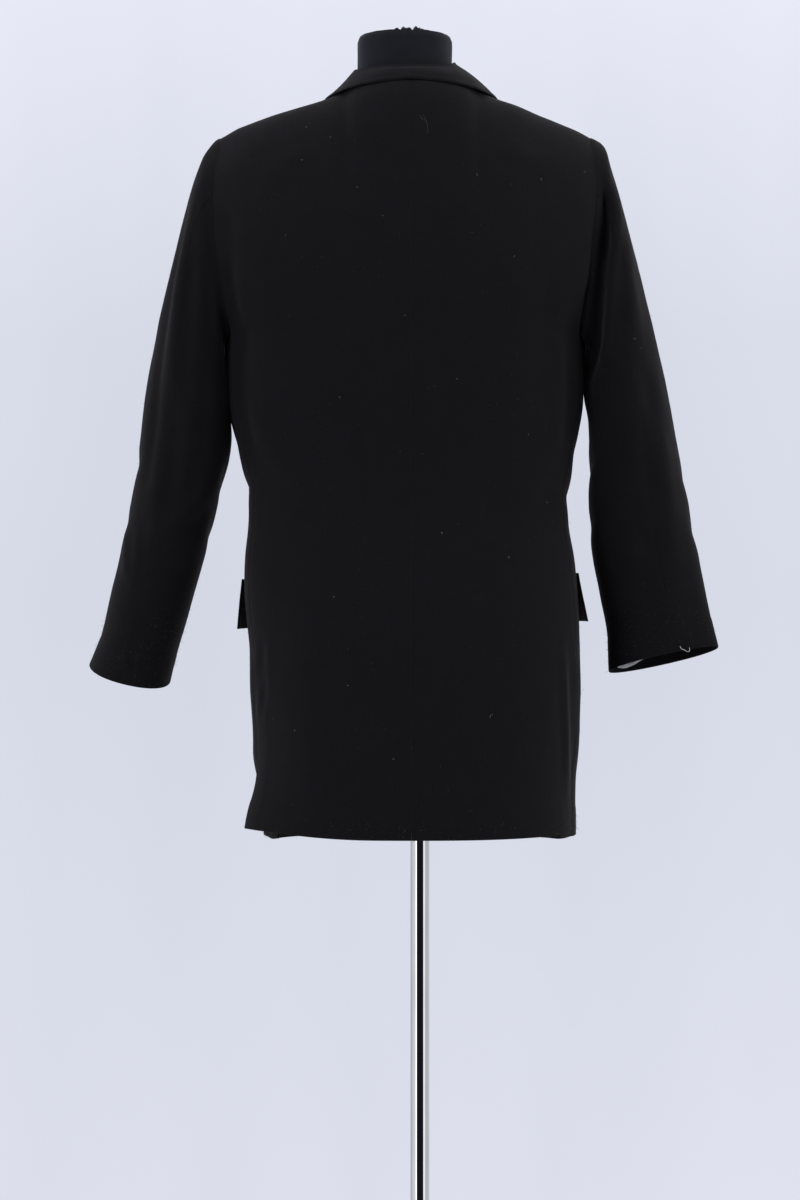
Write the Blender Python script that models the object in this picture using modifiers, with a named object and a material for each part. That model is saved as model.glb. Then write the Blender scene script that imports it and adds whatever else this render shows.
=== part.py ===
"""A long tailored blazer on a limbless dress form with a pole and a round base.

Metres, +Z up. The blazer's front faces -Y and its back faces +Y, so the wearer's left is +X.
The origin is the centre of the base's underside, on the pole's axis.
Cloth panels are lofts between an outer and an inner skin worked out from the sections below.
"""

import math
from collections import namedtuple

import bpy
import bmesh
import numpy as np

# Cloth
WALL = 0.0018
SEAM = 0.0003
FOLDED_WALL = 0.0022

# Heights of the garment above the floor
BACK_HEM = 0.6398
FRONT_HEM = 0.6240
SIDE_HEM = 0.6370
BACK_CORNER_KICK_LEFT = 0.0068
BACK_CORNER_KICK_RIGHT = 0.0015
BACK_KICK_START = 8.0
BACK_KICK_RUN = 60.0
FRONT_DROP_START = 84.0
FRONT_DROP_RUN = 34.0
ARMPIT = 1.207
VENT_TOP = 0.840
BREAK_POINT = 1.085
NECK_SEAM_SIDE = 1.4875

# Where the garment hangs from side to side: its centre seams, its armholes and its collar
CENTRE_SEAM = 0.0100
SLEEVE_CENTRE = 0.0173
SIDE_SHIFT_START = 0.110
SIDE_SHIFT_END = 0.160

# Widths and places, from the garment's centre line
NECK_HALF_WIDTH = 0.072
NECK_BACK = 0.067
NECK_FRONT_REACH = -0.050
RIDGE_AT_NECK = 0.010
RIDGE_AT_SHOULDER = -0.005
SHOULDER_HALF_WIDTH = 0.212
SIDE_SEAM_ANGLE = 72.0
FRONT_OVERLAP = 0.020
FRONT_CORNER_RADIUS = 0.035
SQUARENESS = 2.4
SHOULDER_ROLL = 2.6
OVERLAP_LIFT = WALL + 0.0009
OVERLAP_END = 0.070
OVERLAP_FADE = 0.035
OVERLAP_TOP = 1.27
OVERLAP_TOP_FADE = 0.12
ROLL_LINE_BOW = 0.006
ROLL_LINE_OFFSET = 0.0005
SIDE_SEAM_GAP = 0.09
SLEEVE_SEAM_GAP = 0.20
ARMHOLE_GAP = 0.0008
VENT_LAP_ANGLE = 5.5
VENT_LAP_GAP = 0.0008
VENT_LAP_COLUMNS = 2
HEM_ROWS = (0.0, 0.010, 0.028)
# The left side vent stands open: the back's corner flares and the side panel turns in
OPEN_VENT_TOP = 0.735
OPEN_VENT_RUN = 0.100
BACK_FLARE = 0.042
BACK_FLARE_START = 35.0
BACK_FLARE_RUN = 37.0
SIDE_TURN_IN = 0.105
SIDE_TURN_IN_END = 150.0
SIDE_TURN_IN_RUN = 55.0
# How many columns and rows of faces each panel has
BACK_COLUMNS = 9
SIDE_COLUMNS = 3
FRONT_COLUMNS = 9
VENT_ROWS = 4
WAIST_ROWS = 8
YOKE_ROWS = 10
SLEEVE_HEAD_ROWS = 7
SLEEVE_ARM_ROWS = 10
SLEEVE_UPPER_COLUMNS = 13
SLEEVE_UNDER_COLUMNS = 11
LINING_COLUMNS = 24
LINING_ROWS = 4
COLLAR_HALF_COLUMNS = 14
LAPEL_COLUMNS = 7
LAPEL_ROWS = 13
FLAP_COLUMNS = 10
FLAP_ROWS = 5
FORM_COLUMNS = 36
POLE_STEPS = 28
BASE_STEPS = 56
BUTTON_STEPS = 20

# The body below the armpits: half width, the middle between its sides, and its depths
BodySection = namedtuple("BodySection", "height half_width middle back_depth front_depth")
BODY = [
    BodySection(0.620, 0.1890, 0.0108, 0.1290, 0.1350),
    BodySection(0.655, 0.1882, 0.0100, 0.1290, 0.1345),
    BodySection(0.700, 0.1852, 0.0066, 0.1290, 0.1340),
    BodySection(0.735, 0.1868, 0.0048, 0.1290, 0.1340),
    BodySection(0.800, 0.1896, 0.0054, 0.1280, 0.1330),
    BodySection(0.850, 0.1896, 0.0060, 0.1270, 0.1320),
    BodySection(0.905, 0.1912, 0.0098, 0.1220, 0.1290),
    BodySection(0.957, 0.1883, 0.0118, 0.1130, 0.1240),
    BodySection(0.991, 0.1838, 0.0129, 0.1070, 0.1200),
    BodySection(1.025, 0.1832, 0.0136, 0.1038, 0.1180),
    BodySection(1.060, 0.1885, 0.0148, 0.1030, 0.1180),
    BodySection(1.095, 0.1970, 0.0157, 0.1055, 0.1205),
    BodySection(1.129, 0.2042, 0.0165, 0.1085, 0.1245),
    BodySection(1.165, 0.2062, 0.0170, 0.1120, 0.1280),
    BodySection(1.207, 0.2068, 0.0173, 0.1150, 0.1300),
]

# The body above the armpits, by the share of the way up to the shoulder line
YokeSection = namedtuple("YokeSection", "share armhole_x edge_angle back_depth front_depth")
YOKE = [
    YokeSection(0.00, 0.1983, 72.0, 0.1150, 0.1300),
    YokeSection(0.12, 0.2040, 66.0, 0.1170, 0.1300),
    YokeSection(0.27, 0.2100, 63.0, 0.1190, 0.1270),
    YokeSection(0.45, 0.2155, 62.0, 0.1190, 0.1200),
    YokeSection(0.65, 0.2180, 62.0, 0.1180, 0.1130),
    YokeSection(0.85, 0.2165, 62.0, 0.1170, 0.1080),
    YokeSection(1.00, 0.2120, 62.0, 0.1160, 0.1060),
]

# The shoulder line seen from the back
ShoulderPoint = namedtuple("ShoulderPoint", "across height")
SHOULDER = [
    ShoulderPoint(0.000, 1.4940),
    ShoulderPoint(0.040, 1.4915),
    ShoulderPoint(0.072, 1.4865),
    ShoulderPoint(0.102, 1.4757),
    ShoulderPoint(0.125, 1.4690),
    ShoulderPoint(0.150, 1.4605),
    ShoulderPoint(0.179, 1.4503),
    ShoulderPoint(0.199, 1.4425),
    ShoulderPoint(0.212, 1.4362),
]

# The sleeves from the upper arm to the cuff. Reach is the ring's centre from the centre line,
# forward how far it lies before the pole's axis, slope the outward rise of the ring in degrees,
# and pitch the rise of the ring's back over its front, for each metre between them.
SleeveRing = namedtuple("SleeveRing", "height reach half_width half_depth forward slope pitch")
SLEEVE_LEFT = [
    SleeveRing(1.158, 0.2500, 0.0440, 0.0660, 0.000, 8.0, 0.00),
    SleeveRing(1.096, 0.2510, 0.0520, 0.0600, 0.002, 9.0, 0.00),
    SleeveRing(1.027, 0.2636, 0.0492, 0.0560, 0.008, 11.0, 0.00),
    SleeveRing(0.951, 0.2818, 0.0472, 0.0510, 0.016, 13.0, 0.00),
    SleeveRing(0.898, 0.2960, 0.0461, 0.0485, 0.022, 13.5, -0.06),
    SleeveRing(0.850, 0.3092, 0.0452, 0.0465, 0.027, 13.4, -0.18),
    SleeveRing(0.820, 0.3196, 0.0479, 0.0455, 0.030, 13.2, -0.27),
]
SLEEVE_RIGHT = [
    SleeveRing(1.158, 0.2522, 0.0456, 0.0680, 0.000, 8.0, 0.00),
    SleeveRing(1.096, 0.2606, 0.0488, 0.0640, 0.002, 9.0, 0.00),
    SleeveRing(1.020, 0.2682, 0.0564, 0.0540, 0.008, 9.5, 0.02),
    SleeveRing(0.974, 0.2741, 0.0594, 0.0460, 0.012, 10.0, 0.06),
    SleeveRing(0.918, 0.2854, 0.0602, 0.0370, 0.017, 10.5, 0.14),
    SleeveRing(0.880, 0.2930, 0.0606, 0.0310, 0.021, 11.2, 0.21),
    SleeveRing(0.8360, 0.2999, 0.0648, 0.0235, 0.024, 12.4, 0.30),
]

# How the sleeve's head leaves the armhole and meets the arm, at its outer side and its underarm
SleeveEnd = namedtuple("SleeveEnd", "across back up")
HEAD_LEAVES_OUTER = SleeveEnd(0.080, 0.0, 0.012)
HEAD_LEAVES_FLANK = SleeveEnd(0.030, 0.022, -0.060)
HEAD_LEAVES_UNDER = SleeveEnd(0.006, 0.0, -0.030)
HEAD_ARRIVES_OUTER = 0.205
HEAD_ARRIVES_FLANK = 0.020
HEAD_ARRIVES_UNDER = 0.060
HEAD_SHARE = 0.40
HEAD_ROW_SPREAD = 1.15
SLEEVE_ROUNDNESS = 0.94

# The seams of a two-piece sleeve, as angles round it from its outer side over its back
HIND_SEAM = 82.0
FORE_SEAM = 232.0
ARMHOLE_BACK_CORNER = 148.0
LINING_DEPTH = 0.055
LINING_SETBACK = 0.003
LINING_GAP = 0.0016
LINING_WALL = 0.0010

# The largest folds. Along and around say where a fold starts and ends on its piece: on a
# sleeve, the share from armhole to cuff and the angle round it. Depth is negative for a trough.
SleeveFold = namedtuple("SleeveFold", "side along_0 around_0 along_1 around_1 width depth")
SLEEVE_FOLDS = [
    SleeveFold(1, 0.16, 46.0, 0.62, 52.0, 0.011, -0.0042),
    SleeveFold(1, 0.12, 74.0, 0.55, 84.0, 0.013, 0.0030),
    SleeveFold(1, 0.28, 118.0, 0.66, 108.0, 0.014, -0.0040),
    SleeveFold(1, 0.60, 150.0, 0.74, 70.0, 0.013, 0.0028),
    SleeveFold(-1, 0.18, 78.0, 0.52, 96.0, 0.013, 0.0030),
    SleeveFold(-1, 0.30, 128.0, 0.60, 112.0, 0.014, -0.0038),
    SleeveFold(-1, 0.50, 60.0, 0.86, 66.0, 0.015, 0.0026),
    SleeveFold(1, 0.45, 268.0, 0.62, 330.0, 0.014, -0.0036),
    SleeveFold(-1, 0.48, 262.0, 0.66, 320.0, 0.014, -0.0036),
]
# The metres of cloth in a sleeve's whole length and in one degree round it
SLEEVE_FOLD_SCALES = (0.60, 0.0010)

# On the body, folds run between two heights at angles from the centre back
BodyFold = namedtuple("BodyFold", "side height_0 angle_0 height_1 angle_1 width depth")
BODY_FOLDS = [
    BodyFold(1, 1.235, 58.0, 1.060, 64.0, 0.016, -0.0040),
    BodyFold(-1, 1.250, 57.0, 1.070, 66.0, 0.015, -0.0042),
    BodyFold(1, 1.120, 60.0, 1.010, 34.0, 0.018, 0.0022),
    BodyFold(-1, 1.110, 62.0, 1.000, 40.0, 0.018, 0.0022),
    BodyFold(1, 1.060, 96.0, 0.960, 132.0, 0.017, 0.0024),
    BodyFold(-1, 1.060, 96.0, 0.960, 132.0, 0.017, 0.0024),
]
# Heights are in metres already, and a degree round the body is this much cloth
BODY_FOLD_SCALES = (1.0, 0.0024)

# The collar round the neck: the foot of its stand, its roll and the edge of its fall
CollarSection = namedtuple(
    "CollarSection", "place foot_x foot_y foot_z roll_x roll_y roll_z edge_x edge_y edge_z"
)
COLLAR = [
    CollarSection(0.00, 0.0000, 0.0672, 1.4950, 0.0000, 0.0655, 1.5062, 0.0000, 0.0870, 1.4880),
    CollarSection(0.22, 0.0350, 0.0600, 1.4942, 0.0270, 0.0590, 1.5075, 0.0470, 0.0780, 1.4845),
    CollarSection(0.42, 0.0600, 0.0410, 1.4925, 0.0440, 0.0385, 1.5125, 0.0800, 0.0530, 1.4804),
    CollarSection(0.60, 0.0705, 0.0100, 1.4895, 0.0480, 0.0060, 1.5190, 0.0990, 0.0050, 1.4803),
    CollarSection(0.80, 0.0722, -0.0240, 1.4872, 0.0600, -0.0260, 1.5020, 0.1085, -0.0350, 1.4735),
]
# The rounding over the roll, from the stand to where the fall starts
RollStep = namedtuple("RollStep", "out up")
COLLAR_ROLL = [RollStep(0.0000, -0.0020), RollStep(0.0028, 0.0012), RollStep(0.0058, -0.0018)]
# The neck block pushes the left half of the roll outward and down
COLLAR_LEFT_OUT = 0.0155
COLLAR_LEFT_DOWN = 0.0085
COLLAR_PUSH_START = 0.15
COLLAR_PUSH_RISE = 0.45
COLLAR_PUSH_FALL = 0.40
COLLAR_CROWN = 0.0022
COLLAR_LEFT_CROWN = -0.0012
COLLAR_LEAF_FOOT = (0.0676, 1.4655)
COLLAR_LEAF_ROLL = (0.0660, 1.4640)
COLLAR_LEAF_CROWN = 0.0025
COLLAR_LEAF_FOOT_LIFT = 0.0030
COLLAR_LEAF_ROLL_LIFT = 0.0062
COLLAR_POINT_LIFT = 0.0044
COLLAR_GORGE_SHARES = (0.22, 0.48)
COLLAR_POINT = (0.1230, 1.4440)

# The lapels, from the roll line to the edge, in heights and distances from the centre line
LapelSection = namedtuple("LapelSection", "roll_height edge_across edge_height")
LAPEL = [
    LapelSection(1.090, -0.0170, 1.088),
    LapelSection(1.150, 0.0300, 1.130),
    LapelSection(1.220, 0.0640, 1.190),
    LapelSection(1.300, 0.0920, 1.262),
    LapelSection(1.380, 0.1130, 1.335),
    LapelSection(1.4585, 0.1290, 1.408),
]
RIGHT_LAPEL_START = 1.135
LAPEL_GAP = 0.0024
LAPEL_ROLL_LIFT = 0.0026
LAPEL_GORGE_BEND = 0.005
LAPEL_GORGE_BEND_START = 0.7
RIGHT_LAPEL_CLEARANCE = 0.0015
LAPEL_ROLL_OVERHANG = 0.0015
GORGE_GAP = 0.0006

# Pocket flaps
FLAP_TOP_LEFT = 0.929
FLAP_TOP_RIGHT = 0.936
FLAP_HEIGHT = 0.056
FLAP_START_ANGLE = 87.0
FLAP_END_ANGLE = 141.0
FLAP_FLARE = 0.0085
FLAP_FLARE_HELD = 0.55
FLAP_CORNER_TURN = 1.2
FLAP_GAP = 0.0005

# The share of the way from hem to armpit at which the vents end
VENT_LEVEL = (VENT_TOP - BACK_HEM) / (ARMPIT - BACK_HEM)

# Front buttons
BUTTON_RADIUS = 0.0105
BUTTON_THICKNESS = 0.0038
BUTTON_HEIGHTS = (1.055, 0.950)
BUTTON_GAP = 0.0010

# Dress form: rings from the underside to the shoulders, then the neck
FormRing = namedtuple("FormRing", "height half_width back_depth front_depth")
FORM_BODY = [
    FormRing(0.7650, 0.1300, 0.0700, 0.0750),
    FormRing(0.7680, 0.1560, 0.0900, 0.0950),
    FormRing(0.7850, 0.1660, 0.1000, 0.1040),
    FormRing(0.8700, 0.1680, 0.1080, 0.1100),
    FormRing(0.9500, 0.1560, 0.0960, 0.1020),
    FormRing(1.0200, 0.1420, 0.0850, 0.0920),
    FormRing(1.0900, 0.1520, 0.0880, 0.1000),
    FormRing(1.1600, 0.1700, 0.0980, 0.1140),
    FormRing(1.2300, 0.1820, 0.1060, 0.1170),
    FormRing(1.3000, 0.1900, 0.1080, 0.1090),
    FormRing(1.3600, 0.1950, 0.1040, 0.0980),
    FormRing(1.4000, 0.1975, 0.0960, 0.0870),
]
FORM_REST_GAP = 0.0011
FormShoulder = namedtuple("FormShoulder", "across back_depth front_depth")
FORM_SHOULDERS = [
    FormShoulder(0.196, 0.0550, 0.0500),
    FormShoulder(0.184, 0.0536, 0.0490),
    FormShoulder(0.168, 0.0516, 0.0476),
    FormShoulder(0.154, 0.0500, 0.0464),
    FormShoulder(0.140, 0.0482, 0.0452),
    FormShoulder(0.126, 0.0465, 0.0440),
    FormShoulder(0.112, 0.0449, 0.0428),
    FormShoulder(0.096, 0.0430, 0.0414),
    FormShoulder(0.080, 0.0410, 0.0400),
]
FORM_NECK_CENTRE = 0.0176
FORM_NECK = [
    FormRing(1.4830, 0.0560, 0.0575, 0.0535),
    FormRing(1.4900, 0.0545, 0.0562, 0.0530),
    FormRing(1.5200, 0.0543, 0.0560, 0.0530),
    FormRing(1.5450, 0.0543, 0.0560, 0.0530),
    FormRing(1.5500, 0.0525, 0.0535, 0.0510),
    FormRing(1.5515, 0.0440, 0.0450, 0.0420),
    FormRing(1.5520, 0.0220, 0.0230, 0.0210),
]
FORM_SQUARENESS = 2.15

# Stand
POLE_RADIUS = 0.0110
SOCKET_RADIUS = 0.0230
SOCKET_HEIGHT = 0.0300
BASE_RADIUS = 0.1500
BASE_EDGE_HEIGHT = 0.0060
BASE_HUB_HEIGHT = 0.0160
BASE_HUB_RADIUS = 0.0220
BASE_HUB_FLARE = 0.0060
BASE_HUB_FOOT_HEIGHT = 0.0115
BASE_DISH_RADIUS = 0.0800
BASE_DISH_HEIGHT = 0.0098
BASE_RIM_WIDTH = 0.0100
BASE_RIM_RISE = 0.0018
EDGE_BEVEL = 0.0020
SOCKET_BEVEL = 0.0040


def smooth_column(rows, column, at):
    """A smooth curve through a table's column, over its first column."""
    xs = np.array([row[0] for row in rows])
    ys = np.array([getattr(row, column) for row in rows])
    slopes = np.gradient(ys, xs)
    at = float(min(max(at, min(xs[0], xs[-1])), max(xs[0], xs[-1])))
    if xs[0] > xs[-1]:
        xs, ys, slopes = xs[::-1], ys[::-1], slopes[::-1]
    i = int(min(np.searchsorted(xs, at, side="right") - 1, len(xs) - 2))
    step = xs[i + 1] - xs[i]
    t = (at - xs[i]) / step
    start = ys[i] * (1 + 2 * t) * (1 - t) ** 2 + slopes[i] * step * t * (1 - t) ** 2
    end = ys[i + 1] * t * t * (3 - 2 * t) + slopes[i + 1] * step * t * t * (t - 1)
    return start + end


def ease(t):
    t = min(max(t, 0.0), 1.0)
    return t * t * (3 - 2 * t)


def mix(a, b, t):
    return a + (b - a) * t


def power(value, exponent):
    return math.copysign(abs(value) ** exponent, value)


def sideways(height, across):
    """How far the garment is shifted to its left: its sides hang further over than its centre."""
    middle = smooth_column(BODY, "middle", height)
    share = (abs(across) - SIDE_SHIFT_START) / (SIDE_SHIFT_END - SIDE_SHIFT_START)
    return mix(CENTRE_SEAM, middle, ease(share))


def shoulder_height(across):
    return smooth_column(SHOULDER, "height", abs(across))


def ridge_y(across, back):
    """The top edge's place from front to back: the shoulder seam, or the neck seam inside it."""
    across = abs(across)
    if across < NECK_HALF_WIDTH:
        arc = math.sqrt(1 - (across / NECK_HALF_WIDTH) ** 2)
        reach = NECK_BACK - RIDGE_AT_NECK if back else NECK_FRONT_REACH
        return RIDGE_AT_NECK + reach * arc
    share = (across - NECK_HALF_WIDTH) / (SHOULDER_HALF_WIDTH - NECK_HALF_WIDTH)
    return mix(RIDGE_AT_NECK, RIDGE_AT_SHOULDER, share)


def hem_height(angle, side, front):
    """The back's corners kick up a little, more on the left, and the front hangs lower."""
    if front:
        return mix(SIDE_HEM, FRONT_HEM, ease((angle - FRONT_DROP_START) / FRONT_DROP_RUN))
    kick = BACK_CORNER_KICK_LEFT if side > 0 else BACK_CORNER_KICK_RIGHT
    return BACK_HEM + kick * ease((angle - BACK_KICK_START) / BACK_KICK_RUN)


def level_height(angle, level, side, front):
    """The height of a level below the armpit. The hem's shape ends at the vents' top."""
    if level < VENT_LEVEL:
        return mix(hem_height(angle, side, front), VENT_TOP, level / VENT_LEVEL)
    return mix(VENT_TOP, ARMPIT, (level - VENT_LEVEL) / (1 - VENT_LEVEL))


def open_vent(angle, height, side, front):
    """How much wider or narrower a piece is beside the open vent."""
    if side < 0:
        return 1.0
    low = ease((OPEN_VENT_TOP - height) / OPEN_VENT_RUN)
    if front:
        return 1 - SIDE_TURN_IN * low * ease((SIDE_TURN_IN_END - angle) / SIDE_TURN_IN_RUN)
    return 1 + BACK_FLARE * low * ease((angle - BACK_FLARE_START) / BACK_FLARE_RUN)


def fold_lift(folds, side, along, around, along_scale, around_scale):
    """The height of the folds at one point, each a soft ridge or trough along a line."""
    lift = 0.0
    for fold in folds:
        if fold[0] != side:
            continue
        start = np.array([fold[1] * along_scale, fold[2] * around_scale])
        end = np.array([fold[3] * along_scale, fold[4] * around_scale])
        here = np.array([along * along_scale, around * around_scale])
        run = end - start
        share = float(np.dot(here - start, run) / np.dot(run, run))
        away = float(np.linalg.norm(here - start - run * min(max(share, 0.0), 1.0)))
        taper = ease((share + 0.15) / 0.4) * ease((1.15 - share) / 0.4)
        lift += fold.depth * taper * math.exp(-((away / fold.width) ** 2))
    return lift


def section_depth(across, half_width, depth):
    inside = max(0.0, 1 - (abs(across) / half_width) ** SQUARENESS)
    return depth * inside ** (1 / SQUARENESS)


def overlap_lift(across, height, side):
    """The left front lies over the right one at the closure."""
    if side < 0:
        return 0.0
    lower = ease((OVERLAP_TOP - height) / OVERLAP_TOP_FADE)
    return OVERLAP_LIFT * ease((OVERLAP_END - across) / OVERLAP_FADE) * lower


def body_section(angle, level, side, front):
    """A point of the body's outer skin, as its distance from the centre line, depth and height.

    Angle is 0 at the centre back and 180 at the centre front. Level is 0 at the hem, 1 at the
    armpit and 2 at the shoulder line. Front is true for the front with its side panel.
    """
    turn = math.radians(angle)
    wide = power(math.sin(turn), 2 / SQUARENESS)
    deep = power(math.cos(turn), 2 / SQUARENESS)
    back = deep > 0
    if level <= 1:
        height = level_height(angle, level, side, front)
        half_width = smooth_column(BODY, "half_width", height)
        across = half_width * wide * open_vent(angle, height, side, front)
        depth = smooth_column(BODY, "back_depth" if back else "front_depth", height)
        y = depth * deep
    else:
        climb = math.radians(90 * (level - 1))
        share = math.sin(climb) ** (2 / SHOULDER_ROLL)
        roll = max(0.0, math.cos(climb)) ** (2 / SHOULDER_ROLL)
        edge = math.sin(math.radians(smooth_column(YOKE, "edge_angle", share)))
        half_width = smooth_column(YOKE, "armhole_x", share) / edge ** (2 / SQUARENESS)
        across = half_width * wide
        depth = smooth_column(YOKE, "back_depth" if back else "front_depth", share)
        ridge = ridge_y(across, back)
        y = ridge + (depth * deep - ridge) * roll
        height = ARMPIT + (shoulder_height(across) - ARMPIT) * share
    if not back:
        y -= overlap_lift(across, height, side)
    return across, y, height


def body_point(angle, level, side, front=False):
    across, y, height = body_section(angle, level, side, front)
    return np.array([side * across + sideways(height, across), y, height])


def edge_angle(level):
    """The angle of the armhole's edge, from the centre back, above the armpit."""
    share = math.sin(math.radians(90 * (level - 1))) ** (2 / SHOULDER_ROLL)
    return smooth_column(YOKE, "edge_angle", share)


def skin(angle, level, side, lift=0.0, front=False):
    """A point of the body moved out of the cloth by lift, with the large folds."""
    point = body_point(angle, level, side, front)
    low, high = max(level - 0.006, 0.0), min(level + 0.006, 1.995)
    around = body_point(angle + 0.8, level, side, front) - body_point(angle - 0.8, level, side, front)
    up = body_point(angle, high, side, front) - body_point(angle, low, side, front)
    normal = np.cross(up, around) * side
    normal /= np.linalg.norm(normal)
    folds = fold_lift(BODY_FOLDS, side, point[2], angle, *BODY_FOLD_SCALES)
    return point + normal * (lift + folds)


def front_edge_across(height):
    """The front edge from hem to break point, and the roll line above it."""
    if height > BREAK_POINT:
        share = (height - BREAK_POINT) / (NECK_SEAM_SIDE - BREAK_POINT)
        bow = ROLL_LINE_BOW * math.sin(math.pi * min(share, 1.0))
        return mix(-FRONT_OVERLAP, NECK_HALF_WIDTH + ROLL_LINE_OFFSET, min(share, 1.0)) + bow
    above_hem = height - FRONT_HEM
    rise = max(0.0, FRONT_CORNER_RADIUS - above_hem)
    inset = FRONT_CORNER_RADIUS - math.sqrt(max(0.0, FRONT_CORNER_RADIUS**2 - rise**2))
    return inset - FRONT_OVERLAP


def front_skin(across, height, side, lift=0.0):
    """A point of the front, from its place seen from the front, moved out by lift."""

    def depth_at(a, z):
        if z > ARMPIT:
            share = min((z - ARMPIT) / (shoulder_height(a) - ARMPIT), 1.0)
            edge = math.sin(math.radians(smooth_column(YOKE, "edge_angle", share)))
            half_width = smooth_column(YOKE, "armhole_x", share) / edge ** (2 / SQUARENESS)
            depth = section_depth(a, half_width, smooth_column(YOKE, "front_depth", share))
            roll = (1 - share**SHOULDER_ROLL) ** (1 / SHOULDER_ROLL)
            ridge = ridge_y(a, False)
            y = ridge - (depth + ridge) * roll
        else:
            half_width = smooth_column(BODY, "half_width", z)
            y = -section_depth(a, half_width, smooth_column(BODY, "front_depth", z))
        return y - overlap_lift(a, z, side)

    step = 0.002
    slope_x = (depth_at(across + step, height) - depth_at(across - step, height)) / (2 * step)
    slope_z = (depth_at(across, height + step) - depth_at(across, height - step)) / (2 * step)
    normal = np.array([side * slope_x, -1.0, slope_z])
    normal /= np.linalg.norm(normal)
    x = side * across + sideways(height, across)
    point = np.array([x, depth_at(across, height), height])
    return point + normal * lift


def angle_of_across(across, level, side):
    """The angle at which the front has this distance from the centre line."""
    low, high = 90.0, 215.0
    for _ in range(30):
        middle = (low + high) / 2
        if body_section(middle, level, side, True)[0] > across:
            low = middle
        else:
            high = middle
    return (low + high) / 2


def armhole_point(turn, side, outward=0.0):
    """A point of the armhole's edge. Turn is 0 at the shoulder and 90 at the back."""
    turn = turn % 360
    mirrored = turn if turn <= 180 else 360 - turn
    if mirrored <= ARMHOLE_BACK_CORNER:
        level = 1 + 0.9999 * (1 + math.cos(math.pi * mirrored / ARMHOLE_BACK_CORNER)) / 2
        angle = edge_angle(level)
    else:
        level = 1.0
        share = (mirrored - ARMHOLE_BACK_CORNER) / (180 - ARMHOLE_BACK_CORNER)
        angle = mix(SIDE_SEAM_ANGLE, 90.0, share)
    if turn > 180:
        angle = 180 - angle
    point = body_point(angle, level, side)
    point[0] += side * outward
    return point


def sleeve_ring_point(ring, turn, side, inset=0.0):
    """A point of a sleeve's section. Turn is 0 at its outer side and 90 at its back."""
    angle = math.radians(turn)
    wide = (ring["half_width"] - inset) * power(math.cos(angle), SLEEVE_ROUNDNESS)
    deep = (ring["half_depth"] - inset) * power(math.sin(angle), SLEEVE_ROUNDNESS)
    slope = math.radians(ring["slope"])
    across = ring["reach"] + wide * math.cos(slope)
    height = ring["height"] + wide * math.sin(slope) + deep * ring["pitch"]
    return np.array([side * across + SLEEVE_CENTRE, deep - ring["forward"], height])


def sleeve_ring(rows, height):
    columns = rows[0]._fields[1:]
    ring = {column: smooth_column(rows, column, height) for column in columns}
    ring["height"] = height
    return ring


def sleeve_point(along, turn, side, inset=0.0):
    """A point of a sleeve. Along is 0 at the armhole and 1 at the cuff."""
    rows = SLEEVE_LEFT if side > 0 else SLEEVE_RIGHT
    top, cuff = rows[0].height, rows[-1].height
    if along >= HEAD_SHARE:
        share = (along - HEAD_SHARE) / (1 - HEAD_SHARE)
        point = sleeve_ring_point(sleeve_ring(rows, mix(top, cuff, share)), turn, side, inset)
    else:
        point = sleeve_head_point(along / HEAD_SHARE, turn, side, rows, inset)
    return point


def sleeve_head_point(share, turn, side, rows, inset):
    """The head runs from the armhole's edge into the first ring of the arm."""
    angle = math.radians(turn)
    outer = (1 + math.cos(angle)) / 2
    under = (1 - math.cos(angle)) / 2
    flank = math.sin(angle) ** 2
    start = armhole_point(turn, side, ARMHOLE_GAP)
    ring = sleeve_ring(rows, rows[0].height)
    end = sleeve_ring_point(ring, turn, side, inset)
    below = sleeve_ring_point(sleeve_ring(rows, rows[0].height - 0.02), turn, side, inset)
    leave = outer * np.array(HEAD_LEAVES_OUTER) + under * np.array(HEAD_LEAVES_UNDER)
    leave += flank * np.array(HEAD_LEAVES_FLANK)
    leave *= np.array([side, math.copysign(1, math.sin(angle)) * math.sqrt(flank), 1])
    arrive = (below - end) / np.linalg.norm(below - end)
    arrive *= HEAD_ARRIVES_OUTER * outer + HEAD_ARRIVES_FLANK * flank + HEAD_ARRIVES_UNDER * under
    s = share
    blend = (
        (1 + 2 * s) * (1 - s) ** 2,
        s * (1 - s) ** 2,
        s * s * (3 - 2 * s),
        s * s * (s - 1),
    )
    return blend[0] * start + blend[1] * leave + blend[2] * end + blend[3] * arrive


def sleeve_skin(along, turn, side, lift=0.0):
    """A point of a sleeve's outer side, moved out by lift, with the large folds."""
    point = sleeve_point(along, turn, side)
    before, after = max(along - 0.01, 0.0), min(along + 0.01, 1.0)
    down = sleeve_point(after, turn, side) - sleeve_point(before, turn, side)
    around = sleeve_point(along, turn + 2, side) - sleeve_point(along, turn - 2, side)
    normal = np.cross(down, around) * side
    normal /= np.linalg.norm(normal)
    folds = fold_lift(SLEEVE_FOLDS, side, along, turn % 360, *SLEEVE_FOLD_SCALES)
    return point + normal * (lift + folds)


def material(name, colour, roughness, metallic=0.0):
    made = bpy.data.materials.get(name)
    if made is None:
        made = bpy.data.materials.new(name)
        made.use_nodes = True
        shader = made.node_tree.nodes["Principled BSDF"]
        shader.inputs["Base Color"].default_value = (*colour, 1.0)
        shader.inputs["Roughness"].default_value = roughness
        shader.inputs["Metallic"].default_value = metallic
    return made


def blazer_cloth():
    return material("blazer_cloth", (0.0105, 0.0100, 0.0125), 0.95)


def lining_cloth():
    return material("lining_cloth", (0.42, 0.43, 0.46), 0.55)


def button_horn():
    return material("button_horn", (0.012, 0.011, 0.012), 0.35)


def form_jersey():
    return material("form_jersey", (0.0120, 0.0120, 0.0160), 0.90)


def chrome():
    return material("chrome", (0.80, 0.81, 0.83), 0.12, 1.0)


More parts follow.
